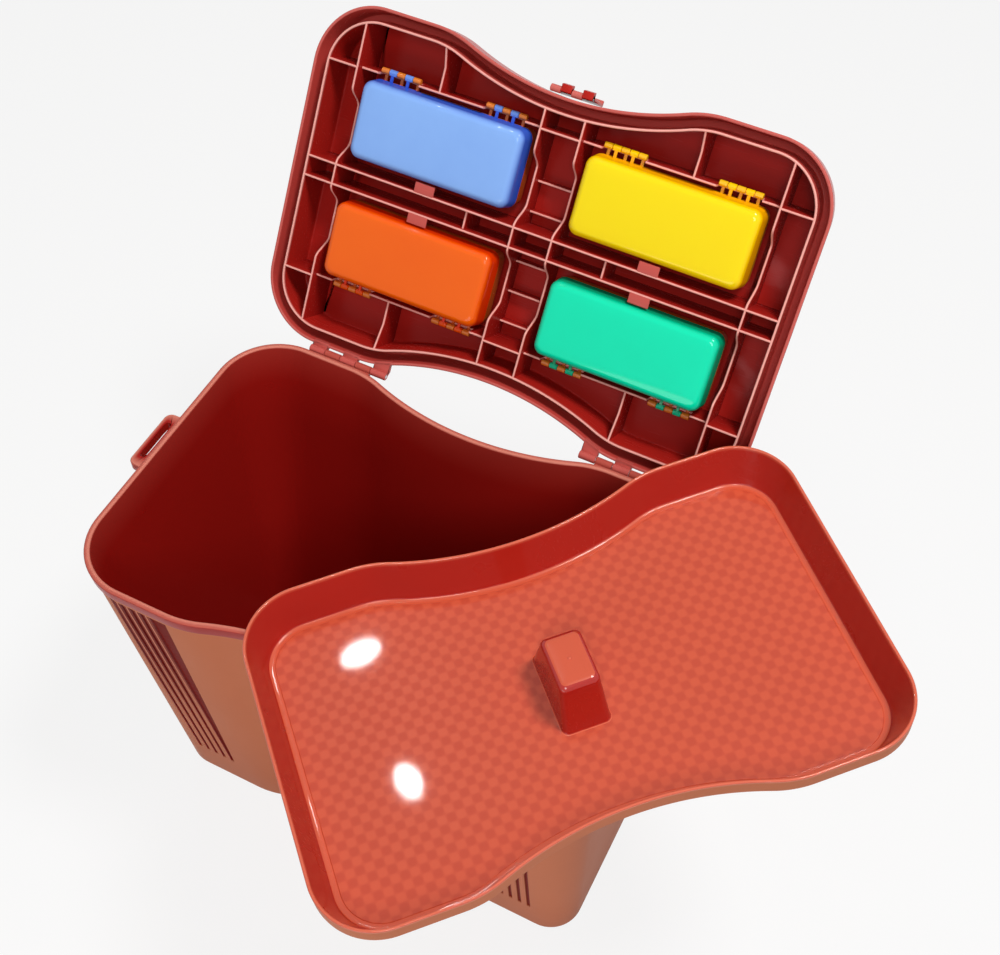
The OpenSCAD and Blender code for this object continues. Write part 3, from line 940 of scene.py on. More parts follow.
@dataclass(frozen=True)
class SeatBox:
    """The tapered box with its rolled rim, flutes, hinge knuckles, keeper and strap bails."""

    taper_x: float = 6.0
    taper_y: float = 39.0
    wall: float = 3.0
    band_h: float = 12.0
    band_out: float = 1.6
    foot_round: float = 9.0
    flutes: int = 4
    flute_x: float = 135.5
    flute_pitch: float = 8.2
    flute_w: float = 3.0
    flute_depth: float = 1.4
    flute_top: float = 337.0
    flute_foot: float = 53.7
    wedge_w: float = 14.0
    cut_slope: tuple = (0.15, 0.3)
    land: tuple = (0.9, 0.4)
    corner_x: float = 163.6
    plain_points: int = 44
    keeper_low: tuple = (-13.5, -109.9, 335)
    keeper_high: tuple = (13.5, -103.4, 340)
    bail_out: float = 12.0
    bail_half: float = 27.0
    bail_corner: float = 6.0
    bail_h: float = 8.0
    bail_slot: tuple = (2.2, 7.8, 18.0)

    def plan_at(self, z: float) -> Plan:
        """The outline at height z, drawn in evenly towards the ground.

        Args:
            z: height above the ground.

        Returns:
            The outline.
        """
        t = (SIZES.rim - z) / SIZES.rim
        return replace(PLAN, half_len=PLAN.half_len - self.taper_x * t,
                       half_dep=PLAN.half_dep - self.taper_y * t,
                       corner_r=PLAN.corner_r - 20 * t)

    def wedge_edges(self, z: float) -> tuple[float, float]:
        """Left and right edge of the wedge at height z: it widens evenly upwards.

        Args:
            z: height above the ground.

        Returns:
            The x of both edges.
        """
        right = self.flute_x - self.flute_pitch + self.flute_w / 2
        t = min(1.0, max(0.0, (z - self.flute_foot) / (self.flute_top - self.flute_foot)))
        return right - self.flute_w - (self.wedge_w - self.flute_w) * t, right

    def columns(self, z: float) -> tuple[np.ndarray, np.ndarray, np.ndarray]:
        """Where the long wall has points at height z, the cut's share there and the painted shade
        or highlight.

        Args:
            z: height above the ground.

        Returns:
            For each point from the corner to the middle: its x, its share of the cut's depth, and
            its tone: painted shade where above 0, a painted highlight where below.
        """
        out, into = self.cut_slope
        wide, flat = self.land
        half, mid = self.flute_w / 2, self.flute_pitch / 2
        x, cut, shade = [self.corner_x], [0.0], [0.0]
        for i in reversed(range(self.flutes)):
            c = self.flute_x + i * self.flute_pitch
            x += [c + half + out, c + half - into, c, c - half + into, c - half - out,
                  c - mid + wide, c - mid + flat, c - mid - flat, c - mid - wide]
            cut += [0, 1, 1, 1, 0, 0, 0, 0, 0]
            # painted shade along the flutes' edges and a painted highlight line along the middle
            # of each ridge
            shade += [0.9, 1, 1, 1, 0.9, 0.9, -0.25, -0.25, 0.9]
        left, right = self.wedge_edges(z)
        x += [right + out, right - into, (left + right) / 2, left + into, left - out]
        cut += [0, 1, 1, 1, 0]
        # painted shade along the wedge
        shade += [0.6, 1, 1, 1, 0]
        plain = np.linspace(PLAN.waist_half, 0, self.plain_points)
        none = np.zeros_like(plain)
        return (np.concatenate([x, plain]), np.concatenate([cut, none]),
                np.concatenate([shade, none]))

    def ring(self, inset: float, z: float, cut_here: float) -> np.ndarray:
        """The outline at height z with the flutes cut in by a share of their depth.

        Args:
            inset: how far the outline is drawn in.
            z: height above the ground.
            cut_here: share of the flutes' depth at this height.

        Returns:
            The ring's points.
        """
        plan = self.plan_at(z)
        columns, cut, _ = self.columns(z)
        ring = plan.ring(inset, columns)
        if cut_here > 0:
            quarter = len(ring) // 4 + 1
            first = quarter - len(columns)
            deepest = plan.half_dep - inset - self.flute_depth * cut_here
            part = ring[first:quarter, 1]
            part[:] = np.where(cut > 0, np.minimum(part, deepest), part)
            ring = mirrored(ring[:quarter])
        return at_height(ring, z)

    def shell(self) -> Surface:
        """The box wall: foot, fluted wall, rim band, lip, inside wall and floor.

        Each pair of inset and height on the profile carries one ring. The tone paints shade in
        the cuts by their share of the depth, paints shade and a highlight line on the ridges,
        strongest near the top and gone below, and paints a highlight along the lip as a bell
        curve below the rim.

        Returns:
            The closed wall with its tones.
        """
        a = np.linspace(math.pi / 2, 0, 9)
        foot = self.foot_round - polar(self.foot_round, a)
        low, high = self.flute_foot, self.flute_top
        levels = np.concatenate([[low - 12, low - 1, low, low + 0.8],
                                 np.linspace(low + 30, high - 30, 6),
                                 [high - 0.8, high, high + 1]])
        shares = np.array([0, 0, 0, 1, 1, 1, 1, 1, 1, 1, 1, 0, 0.0])
        band_z = SIZES.rim - self.band_h
        lip = fillet([(0, high + 1), (0, band_z), (-self.band_out, band_z + 0.8),
                      (-self.band_out, SIZES.rim), (self.wall, SIZES.rim), (self.wall, 320)],
                     [0, 0.8, 0.8, 1.5, 1.4, 0], 5)[1:]
        inside = fillet([(self.wall, 320), (self.wall, self.wall), (30, self.wall)],
                        [0, 9, 0], 8)[1:]
        walls = np.column_stack([np.zeros(len(levels)), levels])
        inset, z = np.concatenate([foot, walls, lip, inside]).T
        share = np.concatenate([np.zeros(len(foot)), shares, np.zeros(len(lip) + len(inside))])
        rings = np.stack([self.ring(*row) for row in zip(inset, z, share)])
        made = loft(rings)
        _, cut, shade = self.columns(0)
        # the ridges' painted shade and highlight fade out towards the ground
        rise = np.clip((z - 110) / 150, 0, 1) * share
        quarter = np.zeros((len(rings), rings.shape[1] // 4 + 1))
        quarter[:, -len(cut):] = np.where(cut > 0, share[:, None], shade * rise[:, None])
        half = np.concatenate([quarter, quarter[:, -2::-1]], axis=1)
        # painted highlight along the rim and its lip
        lip_highlight = np.where(inset > 1.5, -0.6, -0.3) * np.exp(-((z - SIZES.rim) / 0.9)**2)
        made.tone = (np.concatenate([half, half[:, -2:0:-1]], axis=1) + lip_highlight[:, None]).ravel()
        return made

    def keeper(self) -> Surface:
        """The ridge that the latch hooks under."""
        return brick(self.keeper_low, self.keeper_high, 0.8)

    def bail(self, side: int) -> Surface:
        """A strap bail: a rounded loop with a slot, extruded upwards with bevelled edges.

        Args:
            side: -1 for the left end, 1 for the right.

        Returns:
            The bail in its place.
        """
        root, low = PLAN.half_len + self.band_out, SIZES.rim - self.band_h + 1
        r, a = self.bail_corner, np.linspace(0, math.pi / 2, 9)
        arc = polar(r, a) + (self.bail_out - r, self.bail_half - r)
        outer = mirrored_in_x(np.concatenate(
            [[[self.bail_out, 0]], arc, [[-0.6, self.bail_half]], [[-0.6, 0]]]))
        slot = round_slot(*self.bail_slot, len(outer))
        made = bored([outer, outer], slot, [0, self.bail_h], 0.9)
        # painted highlight, strongest on the bevels, and painted shade in the slot
        made.tone = np.repeat((-0.6, -0.15, -0.15, -0.6, 0.2, 0.2), len(outer))
        swap = np.array([[0, 1, 0, 0], [0, 0, 1, 0], [1, 0, 0, 0], [0, 0, 0, 1.0]])
        turn = turned(2, 180 if side < 0 else 0)
        return made.placed(turn @ shifted(root, 0, low) @ swap).outward()

    def make(self) -> None:
        """Builds the box's pieces."""
        axis = shifted(0, SIZES.hinge_y, SIZES.rim - SIZES.hinge_drop)
        knuckles = main_knuckles((1, 3), (-6, 0), 1.6).placed(axis)
        inside, outside = BRICK_SHADED.dress(), BRICK_FLOOR_REFLECTION.dress()
        Piece("seat_box_shell", "box", "box_plastic",
              Surface.join([self.shell(), self.keeper(), knuckles]),
              (inside, outside), ("body_shell",)).make(self.faces_out)
        for side, word in ((-1, "left"), (1, "right")):
            Piece(f"strap_bail_{word}", "box", "box_plastic", self.bail(side), (inside,),
                  (f"strap_loop_{word}",)).make()

    def faces_out(self, centres: np.ndarray, normals: np.ndarray) -> np.ndarray:
        """1 for faces on the outside of the wall below the rim band, which take the tan copy that
        paints the floor's reflection and bounce light.

        Args:
            centres: the faces' middles in millimetres.
            normals: the faces' normals.

        Returns:
            The material number of each face.
        """
        flat = normals[:, 0] * centres[:, 0] + normals[:, 1] * centres[:, 1]
        below = centres[:, 2] < SIZES.rim - self.band_h + 0.5
        return (flat > 0) & below


def round_slot(low: float, high: float, reach: float, count: int) -> np.ndarray:
    """A slot with round corners, with the given count of points from its +x side.

    It is a superellipse: the size of each cosine and sine is raised to a small power.

    Args:
        low: its lowest x.
        high: its highest x.
        reach: half its length along y.
        count: how many points it has.

    Returns:
        The loop.
    """
    middle, half = (low + high) / 2, (high - low) / 2
    a = np.linspace(0, 2 * math.pi, count, endpoint=False)
    power = 0.35
    x = middle + half * np.sign(np.cos(a)) * np.abs(np.cos(a)) ** power
    y = reach * np.sign(np.sin(a)) * np.abs(np.sin(a)) ** power
    return np.column_stack([x, y])


# ---- the lid --------------------------------------------------------------------------------


@dataclass(frozen=True)
class Lid:
    """The seat lid: crowned shell with a rim channel, and the frame of ribs inside it."""

    channel_depth: float = 23.0
    height: float = 37.0
    crown: float = 12.0
    long_wall: float = 80.5
    channel: float = 7.5
    inner_cross: float = 15.5
    outer_cross: float = 165.5
    short_rib: float = 100.0
    ladder: float = 25.0
    ladder_ys: tuple = (-43.5, -20.5, 18.0, 41.5, 65.5)
    channel_rib_xs: tuple = (-55.0, 58.0)
    channel_rib_drop: float = 4.0
    dip: float = 7.0
    dip_end: float = 18.4
    cell_half: float = 75.0
    notch: float = 16.5
    notch_half: float = 16.7
    notch_slope: float = 0.3
    scallop_depth: float = 16.0
    scallop_from: float = 9.0
    scallop_to: float = 66.0
    scallop_run: float = 15.0
    tab_half: float = 8.0
    tab_reach: float = 15.6
    tab_h: float = 2.0
    tab_stem: float = 23.0
    latch_y: float = -112.2
    latch_z: float = 3.0
    latch_pitch: float = 8.25
    latch_knuckle: float = 8.05
    latch_lean: float = 12.0
    latch_r: float = 2.6
    latch_bore: float = 1.0
    lug_bore: float = 1.05
    flap_faces: tuple = (-2.1, 0.1)
    flap_h: float = 26.0
    hook_faces: tuple = (-4.4, -1.0)
    hook_z: float = 23.5

    def shell(self) -> Surface:
        """The lid wall from the ceiling round the channel and the crown to the seat.

        A profile of inset and height is carried round the outline. The tone paints a highlight at
        both rim edges, as a bell curve of the height, paints shade in the cells, and paints the
        shaded channel a little lighter.

        Returns:
            The closed shell with its tones.
        """
        s = SIZES
        inner = s.inner_wall + s.rib
        profile = fillet(
            [(inner + 30, s.ceiling), (inner, s.ceiling), (inner, 2.6), (inner, 0),
             (s.inner_wall, 0), (s.inner_wall, 2.6), (s.inner_wall, self.channel_depth),
             (3.4, self.channel_depth), (1.1, 2.6), (0.8, 0), (-1.6, 0), (-1.3, 2.6),
             (1.2, self.height - self.crown), (13.2, self.height), (34, self.height + 0.8)],
            [0, 1.5, 0, 0.85, 0.85, 0, 1.0, 1.0, 0, 0.9, 0.9, 0, 9, 9, 0], 6)
        inset, z = profile.T
        # painted highlight at the rim edges, painted shade in the cells, and painted light that
        # lifts the channel's shadowed walls
        lip_highlight = np.exp(-(z / 0.9)**2) * np.where(inset > 5, 1.0, 0.25)
        cell = np.where((inset > inner - 0.1) & (z > 3) & (z < s.ceiling + 1), 0.4, 0.0)
        channel_painted_light = np.where((inset > 0.9) & (inset < s.inner_wall + 0.1) & (z > 2), 0.1, 0.0)
        return PLAN.carried(profile, cell - channel_painted_light - lip_highlight)

    def reach_y(self, x: float) -> float:
        """Half the length of a wall across the lid at x, to the middle of its inner wall."""
        return float(PLAN.half_width(np.array([abs(x)]), SIZES.inner_wall + SIZES.rib / 2)[0])

    def reach_x(self, y: float) -> float:
        """Where a wall at y ends inside the lid's inner wall.

        Args:
            y: the wall's place across the lid.

        Returns:
            The x of its end.
        """
        xs = np.linspace(60, 190, 600)
        inside = PLAN.half_width(xs, SIZES.inner_wall + SIZES.rib / 2) > abs(y)
        return float(xs[inside].max())

    def scallop(self, s: np.ndarray) -> np.ndarray:
        """Depth of the finger scallop at a distance from the frame's middle: a cosine dip.

        Args:
            s: distances from the frame's middle.

        Returns:
            The depth at each of them.
        """
        rise = (np.clip((s - self.scallop_from) / self.scallop_run, 0, 1)
                * np.clip((self.scallop_to - s) / self.scallop_run, 0, 1))
        return self.scallop_depth * (1 - np.cos(np.pi * rise)) / 2

    def cross_wall(self, x: float) -> Surface:
        """A wall across the lid with a scallop beside each case.

        Args:
            x: the wall's place along the lid.

        Returns:
            The wall.
        """
        reach, shift = self.reach_y(x), SIZES.frame_shift
        return Rib().along((x, -reach), (x, reach), np.linspace(0, 2 * reach, 181),
                           lambda s: self.scallop(np.abs(s - reach + shift)))

    def long_wall_edge(self, x: np.ndarray) -> np.ndarray:
        """Edge of the wall behind the cases: low between cross walls, notched at each hinge.

        Args:
            x: places along the wall, from the lid's middle.

        Returns:
            The height of the edge at each of them.
        """
        offset = np.abs(np.abs(x) - SIZES.case_x)
        dip = np.where(offset < self.cell_half, self.dip, 0.0)
        beside = self.notch_half - np.abs(offset - SIZES.case_hinge_x)
        notch = self.notch * np.clip(beside / self.notch_slope + 1, 0, 1)
        return np.maximum(dip, notch)

    def long_wall_steps(self, reach: float) -> np.ndarray:
        """Where the wall behind the cases has sections: evenly, and at each step of its edge.

        Args:
            reach: half the wall's length.

        Returns:
            The places from the lid's middle, in rising order.
        """
        edges = np.array([self.notch_half, self.notch_half + self.notch_slope])
        notches = [side * SIZES.case_x + h * SIZES.case_hinge_x + k * edges
                   for side in (-1, 1) for h in (-1, 1) for k in (-1, 1)]
        ends = [side * (SIZES.case_x + k * w) for side in (-1, 1) for k in (-1, 1)
                for w in (self.cell_half - 0.2, self.cell_half + 0.2)]
        return np.sort(np.concatenate([np.linspace(-reach, reach, 160), *notches, ends]))

    def long_walls(self) -> list[Surface]:
        """The two walls behind the cases and the two of the middle channel.

        Returns:
            The four walls.
        """
        made = []
        for row in (-1, 1):
            y = row * self.long_wall - SIZES.frame_shift
            reach = self.reach_x(y)
            made.append(Rib().along((-reach, y), (reach, y), self.long_wall_steps(reach) + reach,
                                    lambda s, r=reach: self.long_wall_edge(s - r)))
            y = row * self.channel - SIZES.frame_shift
            reach = self.reach_x(y)
            made.append(Rib().along((-reach, y), (reach, y), np.linspace(0, 2 * reach, 40),
                                    np.zeros_like))
        return made

    def small_ribs(self) -> list[Surface]:
        """Short ribs of the edge cells, the ladder in the middle bay and two in the channel.

        Returns:
            The ribs.
        """
        made, far = [], self.reach_y(self.short_rib)
        for row in (-1, 1):
            start = row * self.long_wall - SIZES.frame_shift
            length = abs(row * far - start)
            for x in (-self.short_rib, self.short_rib):
                made.append(Rib().along(
                    (x, start), (x, row * far), np.array([0, 10, self.dip_end, length]),
                    lambda s, e=length: self.dip * np.clip((e - s) / (e - self.dip_end), 0, 1)))
        for y in self.ladder_ys:
            made.append(Rib().along((-self.inner_cross, y), (self.inner_cross, y),
                                    np.linspace(0, 2 * self.inner_cross, 5),
                                    lambda s: np.full_like(s, self.ladder)))
        low, high = -self.channel - SIZES.frame_shift, self.channel - SIZES.frame_shift
        for x in self.channel_rib_xs:
            made.append(Rib().along((x, low), (x, high), np.linspace(0, high - low, 5),
                                    lambda s: np.full_like(s, self.channel_rib_drop)))
        return made

    def snap_tabs(self) -> list[Surface]:
        """Tongues on the channel walls that hold the cases, each on its stem.

        Returns:
            The tabs, each followed by its stem.
        """
        made = []
        for x in (-SIZES.case_x, SIZES.case_x):
            for row in (-1, 1):
                y = sorted((row * self.channel - SIZES.frame_shift,
                            row * self.tab_reach - SIZES.frame_shift))
                tab = brick((x - self.tab_half, y[0], 0), (x + self.tab_half, y[1], self.tab_h),
                            0.7)
                # a painted highlight: each tab is painted a little paler
                tab.tone[:] = -0.2
                made += [tab, brick((x - 1, y[0], 1.5), (x + 1, y[1], self.tab_stem), 0.4)]
        return made

    def lugs(self) -> list[Surface]:
        """The two lugs that carry the latch pin.

        Returns:
            The lugs in their places.
        """
        made = []
        for x in (-self.latch_pitch, self.latch_pitch):
            r = self.latch_r
            loop, angles = knuckle_loop(r, -r, r, 5.0)
            hole = polar(self.lug_bore, angles) * (-1, 1)
            part = bored([loop * (-1, 1)] * 2, hole, [x, x + self.latch_knuckle], KNUCKLE_BEVEL)
            made.append(part.placed(shifted(0, self.latch_y, self.latch_z)))
        return made

    def make(self) -> None:
        """Builds the lid's pieces."""
        pose = SIZES.on_lid()
        s = SIZES
        axis = shifted(0, s.hinge_y, -s.hinge_drop - s.lid_gap)
        knuckles = main_knuckles((0, 2, 4), (s.hinge_drop + s.lid_gap, 6.3), 1.4).placed(axis)
        plastic = BRICK_LID.dress()
        Piece("lid_moulding", "lid", "box_plastic",
              Surface.join([self.shell(), knuckles] + self.lugs()).placed(pose),
              (plastic,), ("lid_shell",)).make()
        ribs = [self.cross_wall(x) for x in (-self.outer_cross, -self.inner_cross,
                                             self.inner_cross, self.outer_cross)]
        ribs += self.long_walls() + self.small_ribs() + self.snap_tabs()
        Piece("lid_ribs", "lid", "box_plastic", Surface.join(ribs).placed(pose), (plastic,),
              ("lid_cross_walls", "lid_case_rails", "lid_rail_posts", "lid_channel_walls",
               "lid_small_ribs")).make()
        self.make_latch(pose, plastic)

    def make_latch(self, pose: np.ndarray, plastic: bpy.types.Material) -> None:
        """Builds the latch flap, folded up along the lid.

        Args:
            pose: from the closed lid's frame to the open lid.
            plastic: the lid's material.
        """
        low, high = -2 * self.latch_pitch, 2 * self.latch_pitch - 0.2
        (back, front), (tip, heel) = self.flap_faces, self.hook_faces
        flap = [brick((low, back, 3), (high, front, self.flap_h), 0.7),
                brick((low, tip, self.hook_z), (high, heel, self.flap_h), 0.7)]
        for x in (low, 0.0):
            ends = [x, x + self.latch_knuckle]
            flap.append(bored([circle(self.latch_r, 32)] * 2, circle(self.latch_bore, 32), ends,
                              KNUCKLE_BEVEL))
            flap.append(brick((ends[0], back, 1.2), (ends[1], front, 4), 0.5))
        place = (pose @ shifted(0, self.latch_y, self.latch_z)
                 @ turned(0, -self.latch_lean))
        whole = Surface.join(flap).placed(place)
        whole.tone[:] = -0.3
        Piece("latch_flap_moulding", "latch", "box_plastic", whole, (plastic,),
              ("latch_flap",)).make()


# ---- the tray -------------------------------------------------------------------------------


@dataclass(frozen=True)
class Tray:
    """The lift-out tray: lip and skirt, sloped wall, checkered floor and a hand grip."""

    inset: float = 5.0
    depth: float = 31.5
    skirt: float = 14.0
    floor_inset: float = 14.5
    sheet: float = 2.2
    grip_above: float = 9.0
    grip_foot: tuple = (16.5, 31.0)
    grip_top: tuple = (13.5, 19.5)
    yaw: float = 46.0
    tilt: float = 4.7
    place: tuple = (164.0, -61.5, 48.3)

    def pose(self) -> np.ndarray:
        """Where the tray lies across the open box.

        Returns:
            The 4 by 4 matrix.
        """
        x, y, above = self.place
        return (shifted(x, y, SIZES.rim + above) @ turned(2, self.yaw)
                @ turned(1, -self.tilt))

    def dish(self) -> Surface:
        """The tray's skin: underside, skirt, lip, inside wall, floor edge and raised panel.

        A profile of inset and height is carried round the outline, drawn in by the inset.

        Returns:
            The closed skin with its tones.
        """
        o, t, d, f = self.inset, self.sheet, self.depth, self.inset + self.floor_inset
        profile = fillet([(f + 8, -d - t), (f - 4.6, -d - t), (o + 2.5, -7.4), (o + 1.8, -7.4),
                          (o + 1.8, -self.skirt), (o, -self.skirt), (o, -2.4), (o, 0),
                          (o + 2, 0), (o + 2.7, -2.4), (f - 5.4, -d + 8), (f - 3.2, -d),
                          (f + 0.9, -d), (f + 1.3, -d + 0.45), (f + 4, -d + 0.45)],
                         [0, 6, 0.3, 0.3, 0.8, 0.8, 0, 1.1, 0.9, 0, 6, 3.6, 0.3, 0.3, 0], 5)
        inset, z = profile.T
        # painted highlight along the lip; a tone of 1 marks the checkered panel
        lip = np.exp(-((z + 0.3) / 0.6)**2) * (inset < o + 3)
        panel = (inset > f + 1.2) & (z > -d)
        return PLAN.carried(profile, np.where(panel, 1.0, -0.8 * lip))

    def grip(self) -> Surface:
        """A tapered block with round edges and a soft foot where it grows from the floor.

        Returns:
            The grip with its tones.
        """
        top = self.grip_above
        low = -self.depth
        rows = fillet([(3.5, low), (0, low + 0.3), (0, top), (-8, top + 0.4)],
                      [0, 3, 4, 0], 7)
        share = np.clip((rows[:, 1] - low) / (top - low), 0, 1)
        rings = []
        for (out, z), t in zip(rows, share):
            x, y = np.add(self.grip_foot, np.subtract(self.grip_top, self.grip_foot) * t) + out
            rings.append(at_height(round_rect(x, y, max(1.5, 4.5 + out * 0.4)), z))
        block = loft(np.stack(rings))
        foot = np.exp(-((rows[:, 1] - low - 0.4) / 0.5)**2)
        # painted shade on the grip's sides and a painted highlight along its foot
        block.tone = np.repeat(0.6 * (share < 0.9) * (share > 0.05) - 0.6 * foot, len(rings[0]))
        return block

    def gate_mark(self) -> Surface:
        """The small pip that the mould's gate leaves on the grip.

        Returns:
            The pip.
        """
        pip = brick((-1.2, -1.2, self.grip_above - 0.5), (1.2, 1.2, self.grip_above + 0.9), 0.6)
        pip.tone[:] = -0.5
        return pip

    def make(self) -> None:
        """Builds the tray."""
        whole = Surface.join([self.dish(), self.grip(), self.gate_mark()]).placed(self.pose())
        finishes = (BRICK_TRAY.dress(), BRICK_FLOOR_REFLECTION.dress(), BRICK_WALL_SHADED.dress())
        Piece("tray_moulding", "tray", "box_plastic", whole, finishes, ("tray",)).make(
            self.finish_of)

    def finish_of(self, centres: np.ndarray, normals: np.ndarray) -> np.ndarray:
        """0 for the floor and the grip's top, 1 outside and below the lip in the tan copy that
        paints the floor's reflection, 2 for the walls in the deeper copy that paints shade.

        Args:
            centres: the faces' middles in millimetres.
            normals: the faces' normals.

        Returns:
            The finish number of each face.
        """
        back = np.linalg.inv(self.pose())
        local = centres @ back[:3, :3].T + back[:3, 3]
        turn = normals @ back[:3, :3].T
        out = (turn[:, :2] * local[:, :2]).sum(axis=1) > 0
        edge = PLAN.half_width(np.abs(local[:, 0]), self.inset + 0.6)
        beyond = (np.abs(local[:, 1]) > edge) | (np.abs(local[:, 0]) > 194.4)
        far = (np.abs(local[:, 1]) > 60) | (np.abs(local[:, 0]) > 100)
        side = out & (turn[:, 2] < 0.2)
        skirt = side & beyond & (local[:, 2] < -0.8) | side & far & (local[:, 2] < -7)
        skirt |= turn[:, 2] < -0.5
        wall = (turn[:, 2] < 0.93) & (local[:, 2] > 1 - self.depth)
        return np.where(skirt, 1, np.where(wall, 2, 0))


# ---- the tackle cases -----------------------------------------------------------------------


@dataclass(frozen=True)
class TackleCase:
    """A small case in the lid: base, cover, and knuckle combs behind the long wall."""

    colour: str
    side: int
    row: Row
    cover_finish: Moulded
    base_finish: Moulded
    length: float = 134.5
    depth: float = 59.7
    front: float = 16.3
    parting: float = 14.0
    base_h: float = 16.5
    cover_h: float = 17.5
    edge: float = 6.5
    knuckle_w: float = 6.2
    knuckle_gap: float = 0.4
    knuckle_r: float = 2.2
    bore_r: float = 0.8
    hinge_behind: float = 7.0
    hinge_z: float = 12.0

    def pose(self) -> np.ndarray:
        """From the case's own frame, hinge side to the back, to its cell in the lid."""
        turn = turned(2, 180 if self.row is Row.LATCH else 0)
        return SIZES.on_lid() @ shifted(self.side * SIZES.case_x, -SIZES.frame_shift, 0) @ turn

    def half(self, height: float, edge: float, crown: float, up: int) -> Surface:
        """One half of the case as a hollow shell.

        The outside runs from the parting line over a round edge to a slightly crowned face, and
        the inside follows it at the wall's thickness. Painted shade deepens from the face down
        the round edge.

        Args:
            height: from the parting line to the face.
            edge: radius of the round edge.
            crown: how much the face bulges.
            up: 1 for the base, -1 for the cover.

        Returns:
            The shell, standing on the parting line at height 0.
        """
        outer = fillet([(0, 0), (1.2, height), (12, height + crown * 0.6),
                        (26, height + crown)], [0, edge, 20, 0], 8)
        inner = fillet([(24, height - 1.5), (2.7, height - 1.5), (1.5, 0)], [0, edge - 1, 0], 5)
        rim = np.array([[0.0, 0.0]])
        rows = np.concatenate([inner, rim, outer])
        rings = []
        for inset, z in rows:
            ring = round_rect(self.length / 2 - inset, self.depth / 2 - inset,
                              max(8 - 0.5 * inset, 2.0), 8)
            rings.append(at_height(ring, up * z))
        made = loft(np.stack(rings))
        # painted shade, deepening from the face down the round edge
        edge_shade = np.clip((1 - rows[:, 1] / height) * height / (edge * 0.9), 0, 1)
        made.tone = np.repeat(0.05 + 0.95 * edge_shade, len(rings[0]))
        return made

    def comb(self, which: Sequence[int], leaf: Sequence[float]) -> list[Surface]:
        """The knuckles of both small hinges that belong to the base or to the cover.

        Args:
            which: the places along a hinge, of 0 to 4.
            leaf: lower and upper face of the arms above the pin.

        Returns:
            The knuckles with their stems and arms, in their places.
        """
        width = self.knuckle_w
        pitch = width + self.knuckle_gap
        axis = shifted(0, self.front + self.depth + self.hinge_behind, self.hinge_z)
        low, high = (0.8, leaf[1]) if leaf[0] > 0 else leaf
        made = []
        for hinge in (-SIZES.case_hinge_x, SIZES.case_hinge_x):
            for i in which:
                x = hinge - 2.5 * width - 2 * self.knuckle_gap + i * pitch
                part = bored([circle(self.knuckle_r, 28)] * 2, circle(self.bore_r, 28),
                             [x, x + width], KNUCKLE_BEVEL)
                stem = brick((x + 0.6, -2.1, low), (x + width - 0.6, -0.9, high), 0.3)
                arm = brick((x + 1.9, -8.0, leaf[0] + 0.2), (x + width - 1.9, -1.4, leaf[1]), 0.4)
                # painted shade: barrels a little deeper, stems deeper, arms deepest
                part.tone[:], stem.tone[:], arm.tone[:] = 0.5, 0.7, 1.0
                made.append(Surface.join([part, stem, arm]).placed(axis))
        return made

    def make(self) -> None:
        """Builds the base and the cover."""
        middle = self.front + self.depth / 2
        base = [self.half(self.base_h, 5, 0.3, 1).placed(shifted(0, middle, self.parting))]
        base += self.comb((0, 2, 4), (2.0, 3.4))
        cover = [self.half(self.cover_h - 0.4, self.edge, 0.4, -1).placed(
            shifted(0, middle, self.parting - 0.3))]
        cover += self.comb((1, 3), (-2.2, -0.8))
        name = self.colour
        Piece(f"{name}_base_moulding", f"{name}_case", "case_base_plastic",
              Surface.join(base).placed(self.pose()), (self.base_finish.dress(),),
              (f"{name}_case_base",)).make()
        Piece(f"{name}_cover_moulding", f"{name}_cover", f"{name}_plastic",
              Surface.join(cover).placed(self.pose()), (self.cover_finish.dress(),),
              (f"{name}_case_cover",)).make()


ORANGE_BASE = Moulded("case_base_orange", (0.88, 0.28, 0.03), (0.6, 0.1, 0.01))
YELLOW_BASE = Moulded("case_base_yellow", (0.95, 0.6, 0.005), (0.8, 0.38, 0.004))
BLUE = Moulded("case_blue", (0.26, 0.48, 0.95), (0.02, 0.08, 0.6), gloss=0.05, rough=0.1,
               coat=0.35, mottle=0.25, peel=0.04)
YELLOW = replace(BLUE, name="case_yellow", colour=(0.97, 0.76, 0.0), deep=(0.95, 0.42, 0.0),
                 mottle=0.2)
ORANGE = replace(BLUE, name="case_orange", colour=(0.97, 0.14, 0.002), deep=(0.8, 0.03, 0.001),
                 mottle=0.3)
GREEN = replace(BLUE, name="case_green", colour=(0.0, 0.86, 0.5), deep=(0.0, 0.34, 0.15),
                mottle=0.2)
CASES = (
    TackleCase("blue", -1, Row.LATCH, BLUE, ORANGE_BASE),
    TackleCase("yellow", 1, Row.LATCH, YELLOW, YELLOW_BASE),
    TackleCase("orange", -1, Row.HINGE, ORANGE, ORANGE_BASE),
    TackleCase("green", 1, Row.HINGE, GREEN, ORANGE_BASE),
)


def dress_pins() -> None:
    """Gives the CAD pins that stay their finishes."""
    steel, plastic = STEEL.dress(), replace(ORANGE_BASE, name="case_pin_orange").dress()
    for name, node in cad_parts.items():
        if name in ("hinge_pin_left", "hinge_pin_right", "latch_pin") or name.endswith("_pins"):
            node.data.materials.clear()
            node.data.materials.append(plastic if name.endswith("_pins") else steel)
            log.info("%s: finish set", name)


# ---- stage ----------------------------------------------------------------------------------


